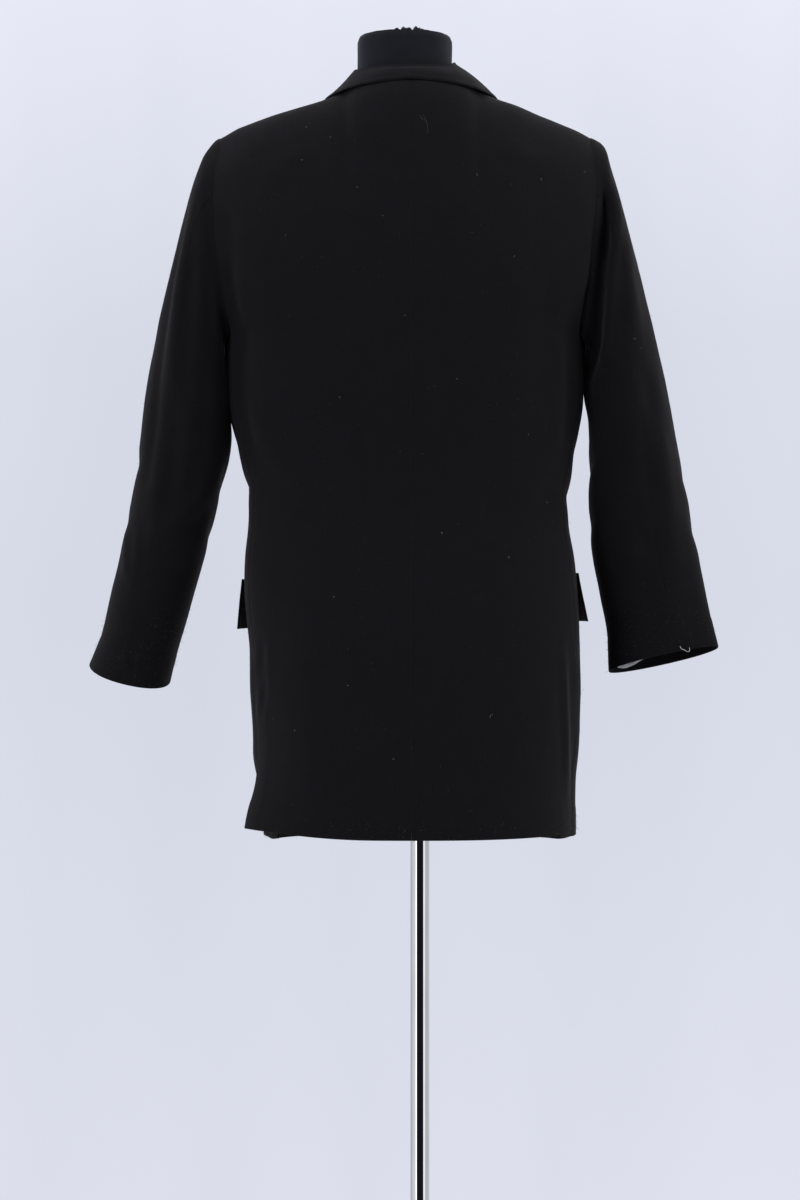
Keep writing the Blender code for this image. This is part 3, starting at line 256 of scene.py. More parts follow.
# The lapels, from the roll line to the edge, in heights and distances from the centre line
LapelSection = namedtuple("LapelSection", "roll_height edge_across edge_height")
LAPEL = table(LapelSection,
    (1.09, -0.017, 1.088), (1.15, 0.03, 1.13), (1.22, 0.064, 1.19), (1.3, 0.092, 1.262),
    (1.38, 0.113, 1.335), (1.4585, 0.129, 1.408),
)
RIGHT_LAPEL_START = 1.135
LAPEL_GAP = 0.0024
LAPEL_ROLL_LIFT = 0.0026
LAPEL_GORGE_BEND = 0.005
LAPEL_GORGE_BEND_START = 0.7
RIGHT_LAPEL_CLEARANCE = 0.0015
LAPEL_ROLL_OVERHANG = 0.0015
LAPEL_ROLL_RADIUS = 0.0048
LAPEL_ROLL_START_RADIUS = 0.0030
GORGE_GAP = 0.0006

# Pocket flaps
FLAP_TOPS = {1: 0.929, -1: 0.936}
FLAP_HEIGHT = 0.056
FLAP_START_ANGLE = 87.0
FLAP_END_ANGLE = 141.0
FLAP_FLARE = 0.0085
FLAP_FLARE_HELD = 0.55
FLAP_CORNER_TURN = 1.2
FLAP_GAP = 0.0005

# The share of the way from hem to armpit at which the vents end
VENT_LEVEL = (VENT_TOP - BACK_HEM) / (ARMPIT - BACK_HEM)

# Front buttons
BUTTON_RADIUS = 0.0105
BUTTON_THICKNESS = 0.0038
BUTTON_HEIGHTS = (1.055, 0.950)
BUTTON_GAP = 0.0010

# Dress form: rings from the underside to the shoulders, then the neck
FormRing = namedtuple("FormRing", "height half_width back_depth front_depth")
FORM_BODY = table(FormRing,
    (0.765, 0.13, 0.07, 0.075), (0.768, 0.156, 0.09, 0.095), (0.785, 0.166, 0.1, 0.104),
    (0.87, 0.168, 0.108, 0.11), (0.95, 0.156, 0.096, 0.102), (1.02, 0.142, 0.085, 0.092),
    (1.09, 0.152, 0.088, 0.1), (1.16, 0.17, 0.098, 0.114), (1.23, 0.182, 0.106, 0.117),
    (1.3, 0.19, 0.108, 0.109), (1.36, 0.195, 0.104, 0.098), (1.4, 0.1975, 0.096, 0.087),
)
FORM_REST_GAP = 0.0011
# The jersey is gathered on top of the neck block, with a tuft behind its middle
NECK_TOP = 1.5528
NECK_FOLD_HEIGHT = 1.5385
TUFT_ACROSS = 0.0120
TUFT_BACK = 0.040
TUFT_HEIGHT = 0.0022
FormShoulder = namedtuple("FormShoulder", "across back_depth front_depth")
FORM_SHOULDERS = table(FormShoulder,
    (0.196, 0.055, 0.05), (0.184, 0.0536, 0.049), (0.168, 0.0516, 0.0476), (0.154, 0.05, 0.0464),
    (0.14, 0.0482, 0.0452), (0.126, 0.0465, 0.044), (0.112, 0.0449, 0.0428), (0.096, 0.043, 0.0414),
    (0.08, 0.041, 0.04),
)
FORM_NECK_CENTRE = 0.0176
FORM_NECK = table(FormRing,
    (1.483, 0.056, 0.0575, 0.0535), (1.49, 0.0545, 0.0562, 0.053), (1.52, 0.0543, 0.056, 0.053),
    (1.545, 0.0543, 0.056, 0.053), (1.55, 0.0525, 0.0535, 0.051), (1.5515, 0.044, 0.045, 0.042),
    (1.552, 0.022, 0.023, 0.021),
)
FORM_SQUARENESS = 2.15

COLUMNS = {}


def smooth_column(rows, column, at):
    """A smooth curve through a table's column, over its first column."""
    key = (id(rows), column)
    if key not in COLUMNS:
        ordered = sorted(rows, key=lambda row: row[0])
        xs = np.array([row[0] for row in ordered])
        ys = np.array([getattr(row, column) for row in ordered])
        COLUMNS[key] = (xs.tolist(), ys.tolist(), np.gradient(ys, xs).tolist())
    xs, ys, slopes = COLUMNS[key]
    at = min(max(at, xs[0]), xs[-1])
    i = min(bisect_right(xs, at) - 1, len(xs) - 2)
    step = xs[i + 1] - xs[i]
    t = (at - xs[i]) / step
    start = ys[i] * (1 + 2 * t) * (1 - t) ** 2 + slopes[i] * step * t * (1 - t) ** 2
    end = ys[i + 1] * t * t * (3 - 2 * t) + slopes[i + 1] * step * t * t * (t - 1)
    return start + end


def ease(t):
    """A soft step from 0 to 1."""
    t = min(max(t, 0.0), 1.0)
    return t * t * (3 - 2 * t)


def mix(a, b, t):
    """The value at a share of the way from one to another."""
    return a + (b - a) * t


def power(value, exponent):
    """A power that keeps its value's sign."""
    return math.copysign(abs(value) ** exponent, value)


def sideways(height, across):
    """How far the garment is shifted to its left: its sides hang further over than its centre."""
    middle = smooth_column(BODY, "middle", height)
    share = (abs(across) - SIDE_SHIFT_START) / (SIDE_SHIFT_END - SIDE_SHIFT_START)
    return mix(CENTRE_SEAM, middle, ease(share))


def shoulder_height(across):
    """The height of the shoulder line at this distance from the centre line."""
    return smooth_column(SHOULDER, "height", abs(across))


def ridge_y(across, back):
    """The top edge's place from front to back: the shoulder seam, or the neck seam inside it."""
    across = abs(across)
    if across < NECK_HALF_WIDTH:
        arc = math.sqrt(1 - (across / NECK_HALF_WIDTH) ** 2)
        reach = NECK_BACK - RIDGE_AT_NECK if back else NECK_FRONT_REACH
        return RIDGE_AT_NECK + reach * arc
    share = (across - NECK_HALF_WIDTH) / (SHOULDER_HALF_WIDTH - NECK_HALF_WIDTH)
    return mix(RIDGE_AT_NECK, RIDGE_AT_SHOULDER, share)


def hem_height(angle, side, front):
    """The back's corners kick up a little, more on the left, and the front hangs lower."""
    if front:
        return mix(SIDE_HEM, FRONT_HEM, ease((angle - FRONT_DROP_START) / FRONT_DROP_RUN))
    kick = BACK_CORNER_KICK_LEFT if side > 0 else BACK_CORNER_KICK_RIGHT
    return BACK_HEM + kick * ease((angle - BACK_KICK_START) / BACK_KICK_RUN)


def level_height(angle, level, side, front):
    """The height of a level below the armpit. The hem's shape ends at the vents' top."""
    if level < VENT_LEVEL:
        return mix(hem_height(angle, side, front), VENT_TOP, level / VENT_LEVEL)
    return mix(VENT_TOP, ARMPIT, (level - VENT_LEVEL) / (1 - VENT_LEVEL))


def open_vent(angle, height, side, front):
    """How much wider or narrower a piece is beside the open vent."""
    if side < 0:
        return 1.0
    low = ease((OPEN_VENT_TOP - height) / OPEN_VENT_RUN)
    if front:
        return 1 - SIDE_TURN_IN * low * ease((SIDE_TURN_IN_END - angle) / SIDE_TURN_IN_RUN)
    return 1 + BACK_FLARE * low * ease((angle - BACK_FLARE_START) / BACK_FLARE_RUN)


def section_depth(across, half_width, depth):
    """How deep a section still is at this distance from its middle."""
    inside = max(0.0, 1 - (abs(across) / half_width) ** SQUARENESS)
    return depth * inside ** (1 / SQUARENESS)


def overlap_lift(across, height, side):
    """The left front lies over the right one at the closure."""
    if side < 0:
        return 0.0
    lower = ease((OVERLAP_TOP - height) / OVERLAP_TOP_FADE)
    return OVERLAP_LIFT * ease((OVERLAP_END - across) / OVERLAP_FADE) * lower


def body_section(angle, level, side, front):
    """A point of the body's outer skin, as its distance from the centre line, depth and height.

    Angle is 0 at the centre back and 180 at the centre front. Level is 0 at the hem, 1 at the
    armpit and 2 at the shoulder line. Front is true for the front with its side panel.
    """
    turn = math.radians(angle)
    wide = power(math.sin(turn), 2 / SQUARENESS)
    deep = power(math.cos(turn), 2 / SQUARENESS)
    back = deep > 0
    if level <= 1:
        height = level_height(angle, level, side, front)
        half_width = smooth_column(BODY, "half_width", height)
        across = half_width * wide * open_vent(angle, height, side, front)
        depth = smooth_column(BODY, "back_depth" if back else "front_depth", height)
        y = depth * deep
    else:
        climb = math.radians(90 * (level - 1))
        share = math.sin(climb) ** (2 / SHOULDER_ROLL)
        roll = max(0.0, math.cos(climb)) ** (2 / SHOULDER_ROLL)
        edge = math.sin(math.radians(smooth_column(YOKE, "edge_angle", share)))
        half_width = smooth_column(YOKE, "armhole_x", share) / edge ** (2 / SQUARENESS)
        across = half_width * wide
        depth = smooth_column(YOKE, "back_depth" if back else "front_depth", share)
        ridge = ridge_y(across, back)
        y = ridge + (depth * deep - ridge) * roll
        height = ARMPIT + (shoulder_height(across) - ARMPIT) * share
    if not back:
        y -= overlap_lift(across, height, side)
    return across, y, height


def body_point(angle, level, side, front=False):
    """A point of the body's outer skin, in the frame."""
    across, y, height = body_section(angle, level, side, front)
    return np.array([side * across + sideways(height, across), y, height])


def edge_angle(level):
    """The angle of the armhole's edge, from the centre back, above the armpit."""
    share = math.sin(math.radians(90 * (level - 1))) ** (2 / SHOULDER_ROLL)
    return smooth_column(YOKE, "edge_angle", share)


def skin(angle, level, side, lift=0.0, front=False):
    """A point of the body moved out of the cloth by lift, with the large folds."""
    point = body_point(angle, level, side, front)
    low, high = max(level - 0.006, 0.0), min(level + 0.006, 1.995)
    around = body_point(angle + 0.8, level, side, front) - body_point(angle - 0.8, level, side, front)
    up = body_point(angle, high, side, front) - body_point(angle, low, side, front)
    normal = np.cross(up, around) * side
    normal /= np.linalg.norm(normal)
    folds = folds_on(BODY_FOLDS, side, point[2], angle, *BODY_FOLD_SCALES)
    return point + normal * (lift + folds)


def front_edge_across(height):
    """The front edge from hem to break point, and the roll line above it."""
    if height > BREAK_POINT:
        share = (height - BREAK_POINT) / (NECK_SEAM_SIDE - BREAK_POINT)
        bow = ROLL_LINE_BOW * math.sin(math.pi * min(share, 1.0))
        return mix(-FRONT_OVERLAP, NECK_HALF_WIDTH + ROLL_LINE_OFFSET, min(share, 1.0)) + bow
    above_hem = height - FRONT_HEM
    rise = max(0.0, FRONT_CORNER_RADIUS - above_hem)
    inset = FRONT_CORNER_RADIUS - math.sqrt(max(0.0, FRONT_CORNER_RADIUS**2 - rise**2))
    return inset - FRONT_OVERLAP


def front_skin(across, height, side, lift=0.0):
    """A point of the front, from its place seen from the front, moved out by lift."""

    def depth_at(a, z):
        if z > ARMPIT:
            share = min((z - ARMPIT) / (shoulder_height(a) - ARMPIT), 1.0)
            edge = math.sin(math.radians(smooth_column(YOKE, "edge_angle", share)))
            half_width = smooth_column(YOKE, "armhole_x", share) / edge ** (2 / SQUARENESS)
            depth = section_depth(a, half_width, smooth_column(YOKE, "front_depth", share))
            roll = (1 - share**SHOULDER_ROLL) ** (1 / SHOULDER_ROLL)
            ridge = ridge_y(a, False)
            y = ridge - (depth + ridge) * roll
        else:
            half_width = smooth_column(BODY, "half_width", z)
            y = -section_depth(a, half_width, smooth_column(BODY, "front_depth", z))
        return y - overlap_lift(a, z, side)

    step = 0.002
    slope_x = (depth_at(across + step, height) - depth_at(across - step, height)) / (2 * step)
    slope_z = (depth_at(across, height + step) - depth_at(across, height - step)) / (2 * step)
    normal = np.array([side * slope_x, -1.0, slope_z])
    normal /= np.linalg.norm(normal)
    x = side * across + sideways(height, across)
    point = np.array([x, depth_at(across, height), height])
    return point + normal * lift


def angle_of_across(across, level, side):
    """The angle at which the front has this distance from the centre line."""
    low, high = 90.0, 215.0
    for _ in range(30):
        middle = (low + high) / 2
        if body_section(middle, level, side, True)[0] > across:
            low = middle
        else:
            high = middle
    return (low + high) / 2


def armhole_place(turn):
    """The angle and level of the armhole's edge. Turn is 0 at the shoulder and 90 at the back."""
    turn = turn % 360
    mirrored = turn if turn <= 180 else 360 - turn
    if mirrored <= ARMHOLE_BACK_CORNER:
        level = 1 + 0.9999 * (1 + math.cos(math.pi * mirrored / ARMHOLE_BACK_CORNER)) / 2
        angle = edge_angle(level)
    else:
        level = 1.0
        share = (mirrored - ARMHOLE_BACK_CORNER) / (180 - ARMHOLE_BACK_CORNER)
        angle = mix(SIDE_SEAM_ANGLE, 90.0, share)
    return 180 - angle if turn > 180 else angle, level


def armhole_point(turn, side, outward=0.0):
    """A point of the armhole's edge."""
    point = body_point(*armhole_place(turn), side)
    point[0] += side * outward
    return point


def sleeve_ring_point(ring, turn, side, inset=0.0):
    """A point of a sleeve's section. Turn is 0 at its outer side and 90 at its back."""
    angle = math.radians(turn)
    wide = (ring["half_width"] - inset) * power(math.cos(angle), SLEEVE_ROUNDNESS)
    deep = (ring["half_depth"] - inset) * power(math.sin(angle), SLEEVE_ROUNDNESS)
    slope = math.radians(ring["slope"])
    across = ring["reach"] + wide * math.cos(slope)
    height = ring["height"] + wide * math.sin(slope) + deep * ring["pitch"]
    return np.array([side * across + SLEEVE_CENTRE, deep - ring["forward"], height])


def sleeve_ring(rows, height):
    """A sleeve's section at a height."""
    columns = rows[0]._fields[1:]
    ring = {column: smooth_column(rows, column, height) for column in columns}
    ring["height"] = height
    return ring


def sleeve_point(along, turn, side, inset=0.0):
    """A point of a sleeve. Along is 0 at the armhole and 1 at the cuff."""
    rows = SLEEVE_LEFT if side > 0 else SLEEVE_RIGHT
    top, cuff = rows[0].height, rows[-1].height
    if along >= HEAD_SHARE:
        share = (along - HEAD_SHARE) / (1 - HEAD_SHARE)
        point = sleeve_ring_point(sleeve_ring(rows, mix(top, cuff, share)), turn, side, inset)
    else:
        point = sleeve_head_point(along / HEAD_SHARE, turn, side, rows, inset)
    return point


def sleeve_head_point(share, turn, side, rows, inset):
    """The head runs from the armhole's edge into the first ring of the arm."""
    angle = math.radians(turn)
    outer = (1 + math.cos(angle)) / 2
    under = (1 - math.cos(angle)) / 2
    flank = math.sin(angle) ** 2
    start = armhole_point(turn, side, ARMHOLE_GAP)
    ring = sleeve_ring(rows, rows[0].height)
    end = sleeve_ring_point(ring, turn, side, inset)
    below = sleeve_ring_point(sleeve_ring(rows, rows[0].height - 0.02), turn, side, inset)
    leave = outer * np.array(HEAD_LEAVES_OUTER) + under * np.array(HEAD_LEAVES_UNDER)
    leave += flank * np.array(HEAD_LEAVES_FLANK)
    leave *= np.array([side, math.copysign(1, math.sin(angle)) * math.sqrt(flank), 1])
    arrive = (below - end) / np.linalg.norm(below - end)
    arrive *= HEAD_ARRIVES_OUTER * outer + HEAD_ARRIVES_FLANK * flank + HEAD_ARRIVES_UNDER * under
    s = share
    blend = (
        (1 + 2 * s) * (1 - s) ** 2,
        s * (1 - s) ** 2,
        s * s * (3 - 2 * s),
        s * s * (s - 1),
    )
    return blend[0] * start + blend[1] * leave + blend[2] * end + blend[3] * arrive


def pushed_share(place, side):
    """How much of the neck block's push reaches this place of the collar."""
    if side < 0:
        return 0.0
    return ease((place - COLLAR_PUSH_START) / COLLAR_PUSH_RISE) * ease((1.0 - place) / COLLAR_PUSH_FALL)


def collar_row(place, side):
    """Foot, roll and edge of the collar at one place, from 0 at the back to the last section."""
    found = [smooth_column(COLLAR, column, place) for column in COLLAR[0]._fields[1:]]
    foot, roll, edge = (np.array(found[3 * i : 3 * i + 3]) for i in range(3))
    roll += np.array([COLLAR_LEFT_OUT, 0.0, -COLLAR_LEFT_DOWN]) * pushed_share(place, side)
    for point in (foot, roll, edge):
        point[0] = side * point[0] + CENTRE_SEAM
    return foot, roll, edge


def collar_stand(foot, roll, edge):
    """The section's points up the stand and over the roll, to where the fall starts."""
    outward = edge - roll
    outward[2] = 0.0
    outward /= np.linalg.norm(outward)
    up = np.array([0.0, 0.0, 1.0])
    over = [roll + outward * step.out + up * step.up for step in COLLAR_ROLL]
    return [foot, mix(foot, roll, 0.5), *over], outward


def collar_section(place, side):
    """The whole section: up the stand, over the roll and down the fall."""
    foot, roll, edge = collar_row(place, side)
    points, outward = collar_stand(foot, roll, edge)
    fall_start = points[-1]
    height = mix(COLLAR_CROWN, COLLAR_LEFT_CROWN, pushed_share(place, side))
    for share in (0.33, 0.66, 1.0):
        crown = height * math.sin(math.pi * share)
        points.append(mix(fall_start, edge, share) + crown * (outward * 0.5 + np.array([0.0, 0.0, 1.0])))
    return points


def collar_end(side):
    """The collar's end: along the gorge seam over the lapel, then out to the collar's point."""
    foot = front_skin(*COLLAR_LEAF_FOOT, side, COLLAR_LEAF_FOOT_LIFT)
    roll = front_skin(*COLLAR_LEAF_ROLL, side, COLLAR_LEAF_ROLL_LIFT)
    edge = front_skin(*COLLAR_POINT, side, COLLAR_POINT_LIFT)
    points, _ = collar_stand(foot, roll, edge)
    seam = [lapel_point(1.0, share, side, GORGE_GAP) for share in COLLAR_GORGE_SHARES]
    return points + seam + [edge]


def collar_path(place, side):
    """The collar's section at a place, from 0 at the back to 1 at its end."""
    last = COLLAR[-1].place
    if place <= last:
        return collar_section(place, side)
    share = ease((place - last) / (1 - last))
    crown = np.array([0.0, -0.5, 1.0]) * COLLAR_LEAF_CROWN * math.sin(math.pi * share)
    pairs = zip(collar_section(last, side), collar_end(side))
    return [mix(start, end, share) + crown for start, end in pairs]


def lapel_point(up, share, side, above=0.0):
    """A point of a lapel. Up is 0 at the break and 1 at the gorge, share 1 at the outer edge."""
    lowest = LAPEL[0].roll_height if side > 0 else RIGHT_LAPEL_START
    roll_height = mix(lowest, LAPEL[-1].roll_height, up)
    roll_across = front_edge_across(roll_height) - LAPEL_ROLL_OVERHANG
    if side < 0:
        roll_across = max(roll_across, RIGHT_LAPEL_CLEARANCE - front_edge_across(roll_height))
    edge_across = smooth_column(LAPEL, "edge_across", roll_height)
    edge_height = smooth_column(LAPEL, "edge_height", roll_height)
    across = mix(roll_across, edge_across, share)
    upper = ease((up - LAPEL_GORGE_BEND_START) / (1 - LAPEL_GORGE_BEND_START))
    bend = LAPEL_GORGE_BEND * upper * math.sin(math.pi * share)
    height = mix(roll_height, edge_height, share) + bend
    lift = FOLDED_WALL + LAPEL_GAP + LAPEL_ROLL_LIFT * (1 - share) ** 3
    return front_skin(across, height + above, side, lift)


def form_ring(ring, count, centre, middle):
    """One level section of the dress form, round a centre and a middle line from front to back."""
    points = []
    for j in range(count):
        angle = 2 * math.pi * j / count
        wide = power(math.sin(angle), 2 / FORM_SQUARENESS)
        deep = power(math.cos(angle), 2 / FORM_SQUARENESS)
        depth = ring.back_depth if deep > 0 else ring.front_depth
        points.append((ring.half_width * wide + centre, depth * deep + middle, ring.height))
    return points


# ---- creases, in millimetres

BODY_CREASES = creases_on(
    top=[
        # the left shoulder slopes a little more at its point
        (205, 1433, 240, 1408, 20, -2.1, 0),
    ],
    back=[
        # beside the armholes of the back
        (220, 1350, 215, 1255, 10, -2.4, 2), (218, 1285, 208.5, 1220, 6.5, -3, 0),
        (-204, 1360, -196, 1230, 9, -4.5, -2), (-190, 1260, -187, 1215, 7, -2, 0),
        (-168, 1280, -162, 1140, 13, 1.8, -4),
        # the yoke under the collar
        (90, 1403, 30, 1395, 12, -0.9, 3), (-20, 1435, -10, 1390, 11, -0.8, 2),
        (45, 1440, 32, 1408, 10, 0.8, 2), (-90, 1417, -150, 1395, 12, 1, -4),
        (130, 1418, 185, 1370, 14, 1, 6),
        # the waist
        (165, 1050, 90, 1005, 14, 1.2, 6), (170, 1015, 100, 980, 11, -1, 5),
        (-150, 1060, -85, 1010, 13, 1.2, -6), (-155, 1025, -90, 978, 12, -1.1, -4),
        (35, 1040, -25, 1015, 16, 0.7, 4), (25, 960, 30, 820, 22, 0.7, 4),
        (-65, 940, -80, 800, 20, -0.7, 5), (95, 900, 100, 740, 22, -0.8, -6),
        (-110, 830, -118, 690, 18, 0.8, 4), (-130, 805, -118, 785, 10, -0.9, 0),
        (60, 760, 65, 660, 20, 0.8, 4), (-25, 740, -35, 650, 17, -0.7, -3),
        # the back's edges over the vents
        (178, 860, 177.5, 788, 4, -2.2, 0), (176.5, 830, 183.5, 770, 3, 1.3, 0),
        (-159, 850, -166, 675, 3.5, 1.5, 1), (-168, 860, -173, 700, 4, -2.2, 1),
    ],
    front=[
        # the front, drawn in at the upper button and full over the chest
        (35, 1062, 115, 1130, 11, 2.2, 6), (40, 1045, 135, 1070, 10, 1.8, -5),
        (40, 1056, 125, 1100, 7, -1.3, 4), (-25, 1062, -95, 1135, 11, 2, -7),
        (-25, 1045, -115, 1075, 10, 1.7, 6), (-25, 1055, -105, 1105, 7, -1.3, -4),
        (45, 1035, 120, 1005, 12, 1.4, -5), (-30, 1035, -105, 1000, 12, 1.4, 5),
        (185, 1320, 175, 1210, 12, -3, 4), (-165, 1325, -155, 1215, 12, -3, -4),
        (155, 1290, 150, 1180, 14, 1.5, 5), (-135, 1285, -130, 1175, 14, 1.5, -5),
        (60, 860, 75, 710, 20, 1.3, 5), (-75, 850, -85, 690, 22, 1.3, -6),
        (120, 840, 125, 700, 16, -1.1, -4), (-15, 870, -25, 730, 18, -0.9, 4),
    ],
    left=[
        # the sides
        (60, 1085, -30, 1035, 11, 1.5, 6), (65, 1045, -50, 1015, 10, -1.4, 4),
        (20, 1170, -15, 1100, 12, -1.4, 4), (-30, 880, -40, 740, 17, 1.1, 4),
    ],
    right=[
        (60, 1090, -35, 1030, 11, 1.5, -5), (60, 1040, -45, 1010, 10, -1.3, -4),
        (15, 1165, -20, 1105, 12, -1.4, -4), (-20, 870, -35, 730, 18, 1.1, -4),
    ],
)
SLEEVE_CREASES = creases_on(
    back=[
        # a fold above the left cuff, and the dimple where its slit is fastened
        (336.6, 987, 336.6, 927, 4.5, 2, 0), (330.2, 844, 328.5, 826, 3.8, -2.4, 0),
        # the dark valley down the right sleeve's armhole, and the narrower one on the left
        (-208.5, 1375, -205, 1285, 7.5, -15, 1), (-204.5, 1300, -189.5, 1150, 7.5, -13, 1),
        (-221, 1340, -213, 1210, 8, 2.2, 1), (221, 1290, 212, 1125, 7, -9, 1),
        (236, 1230, 226, 1130, 9, 1.6, 1),
        # the left sleeve's back: two long soft troughs with a ridge between them and the armhole
        (259, 1295, 265, 1150, 8, -3, -2), (248, 1350, 253, 1160, 7, 2.2, 3),
        (276, 1150, 289, 1005, 10, -3.4, 3), (258, 1150, 264, 1030, 10, 1.6, 3),
        (292, 1060, 302, 970, 9, 1.6, -2), (248, 1000, 272, 985, 9, -2.2, 4),
        (260, 945, 288, 930, 9, -1.6, 4), (322, 990, 330, 915, 5, 1.2, 1),
        (305, 900, 320, 845, 12, -1, 3),
        # the right sleeve's back, smoother, with ridges near its outer edge
        (-232, 1340, -237, 1200, 7, 2.4, 2), (-243, 1260, -257, 1150, 6, 1.6, -2),
        (-250, 1220, -266, 1100, 8, -1.8, -3), (-233, 1150, -240, 1050, 12, 1.4, -3),
        (-272, 1100, -290, 990, 10, 1.4, -4), (-253, 1050, -275, 1020, 10, -1.2, -3),
        (-240, 980, -265, 960, 10, -1.4, 3), (-280, 930, -297, 860, 12, 1.2, -3),
    ],
    top=[
        (205, 1433, 240, 1408, 20, -2.1, 0),
    ],
    front=[
        # the bends of the elbows, seen from the front
        (235, 1060, 275, 1025, 9, -3.2, 5), (245, 1025, 290, 995, 8, -2.8, 4),
        (240, 1043, 280, 1010, 8, 2.2, 4), (260, 1150, 285, 1100, 11, -1.8, 4),
        (275, 950, 315, 925, 9, -1.8, 4), (-225, 1060, -265, 1020, 9, -3.2, -5),
        (-235, 1020, -285, 985, 8, -2.8, -4), (-230, 1040, -275, 1005, 8, 2.2, -4),
        (-250, 1150, -275, 1095, 11, -1.8, -4), (-265, 940, -305, 920, 9, -1.6, -4),
    ],
    left=[
        # their outer sides
        (0, 1360, -5, 1150, 45, -2.2, 0), (25, 1260, 15, 1120, 11, 1.2, 4),
        (-30, 1230, -20, 1110, 12, -1.6, -4), (20, 1070, -30, 1030, 10, -1.8, 4),
        (10, 1000, -45, 965, 10, -1.4, 4),
    ],
    right=[
        (0, 1380, -5, 1140, 45, -3.4, 0), (25, 1260, 15, 1120, 11, 1, -4),
        (-30, 1230, -20, 1110, 12, -1.6, 4), (15, 1060, -25, 1025, 10, -1.6, -4),
        (10, 995, -40, 970, 10, -1.4, -4),
    ],
)
# The sleeves lean on the body for a little way below the armholes
UNDERARM_CREASES = {
    1: creases_on(right=[(30, 1193, 30, 1115, 50, 6.2, 0)]),
    -1: creases_on(left=[(30, 1185, 30, 1118, 50, 3.6, 0)]),
}
COLLAR_CREASES = creases_on(
    back=[
        (65, 1496, 50, 1484, 7, -0.6, 1), (-20, 1500, -26, 1488, 8, 0.5, 1),
        (-55, 1496, -45, 1486, 6, -0.5, 1),
    ],
)

# Each view's across axis and the direction it is seen from
View = namedtuple("View", "axis towards")
VIEWS = {
    "back": View(0, (0.0, 1.0, 0.0)),
    "front": View(0, (0.0, -1.0, 0.0)),
    "left": View(1, (1.0, 0.0, 0.0)),
    "right": View(1, (-1.0, 0.0, 0.0)),
    "top": View(0, (0.0, 0.0, 1.0)),
}

# The cloth's unevenness: the size of its waves and their height, from broad to small
Wave = namedtuple("Wave", "size height")
WAVES = table(Wave, (0.085, 0.0009), (0.034, 0.0004), (0.013, 0.00012))

# How an edge is rounded and how a seam sinks
EDGE_STEPS = (0.0, 0.0004, 0.0010, 0.0020, 0.0036)
EDGE_RADIUS = 0.0011
SEWN_RADIUS = 0.0006
SEWN_CLOSURE = 0.55
SEAM_SINK = 0.00035
SEAM_SINK_WIDTH = 0.0024
ARMHOLE_SINK = 0.0007
ARMHOLE_SINK_WIDTH = 0.0050
ARMHOLE_SINK_TOP = 1.85
HEAD_SETTLE = 0.050
HEAD_LIFTS_FROM = 0.014
HEAD_ROLL = {1: 0.0014, -1: 0.0042}
HEAD_ROLL_AT = 0.021
HEAD_ROLL_WIDTH = 0.015
HEAD_SHADED = 0.036
SLEEVE_SEAM_SINK = 0.00012
# The sewn edges nearly touch: half the gap at the centre back, and angles round body and sleeve
CENTRE_CLOSURE = 0.00001
SIDE_CLOSURE = 0.004
SLEEVE_CLOSURE = 0.012
ARMHOLE_CLOSURE = 0.00004
CREASE_SIDE_LOBE = 0.22
# A turned-up hem, a folded edge and an enclosed seam are a little thicker, as far in as this
TURN_IN_RISE = 0.0004
HEM_TURN_UP = 0.034
CUFF_RISE = 0.0005
CUFF_TURN_UP = 0.036
VENT_TURN_IN = 0.030
ENCLOSED_SEAM = 0.006
TURN_IN_STEP = 0.003
# The depth and width of the seams down the centre back and from the armholes to the hem
PANEL_SEAM = (0.00025, 0.0020)
# Above this height the cloth is held smooth by the shoulder seams
SHOULDER_QUIET_FROM = 1.462
# The pocket's mouth, above its flap and past the flap's ends by so many degrees
MOUTH_ABOVE_FLAP = 0.0035
MOUTH_BEYOND = 1.5
MOUTH_DEPTH = 0.0006
MOUTH_WIDTH = 0.0012
# The chest dart, from under the lapel to the pocket
DART_ANGLE = 148.0
DART_TOP = 1.215
DART_END = 0.945
DART_DEPTH = 0.0005
DART_WIDTH = 0.0016


def smooth(t):
    """A soft step from 0 to 1, also for whole grids."""
    t = np.clip(t, 0.0, 1.0)
    return t * t * (3 - 2 * t)


def bell(distance, width):
    """One at no distance, and fading to nothing over about twice the width."""
    return np.exp(-((distance / width) ** 2))


def tapered(share, fade):
    """One along a line's middle, fading out over its ends and a little past them."""
    return smooth((share + 0.15) / fade) * smooth((1.15 - share) / fade)


def nearest(*distances):
    """The least of some grids of distances."""
    return reduce(np.minimum, distances)


def placed(name, data):
    """A new object in the scene."""
    made = bpy.data.objects.new(name, data)
    bpy.context.scene.collection.objects.link(made)
    return made


def meshed(name, points, faces, finish):
    """A new smooth object of one finish."""
    mesh = bpy.data.meshes.new(name)
    mesh.from_pydata(points, [], faces)
    mesh.materials.append(finish)
    mesh.shade_smooth()
    return placed(name, mesh)


def ring_faces(low, high, count, turned=False):
    """The faces between two rings of points, by the index of each ring's first point."""
    pairs = [(j, (j + 1) % count) for j in range(count)]
    return [(low + b, low + a, high + a, high + b) if turned else (low + a, low + b, high + b, high + a)
            for a, b in pairs]


def turned_ring(count, radius=1.0):
    """The places across and along of points on a circle."""
    turns = [2 * math.pi * j / count for j in range(count)]
    return [(radius * math.cos(turn), radius * math.sin(turn)) for turn in turns]


def grid_normals(grid, outward):
    """The unit normals of a grid of points. Outward is 1 or -1, the side that they point to."""
    down = np.gradient(grid, axis=0)
    along = np.gradient(grid, axis=1)
    normals = np.cross(down, along) * outward
    return normals / np.maximum(np.linalg.norm(normals, axis=-1, keepdims=True), 1e-12)


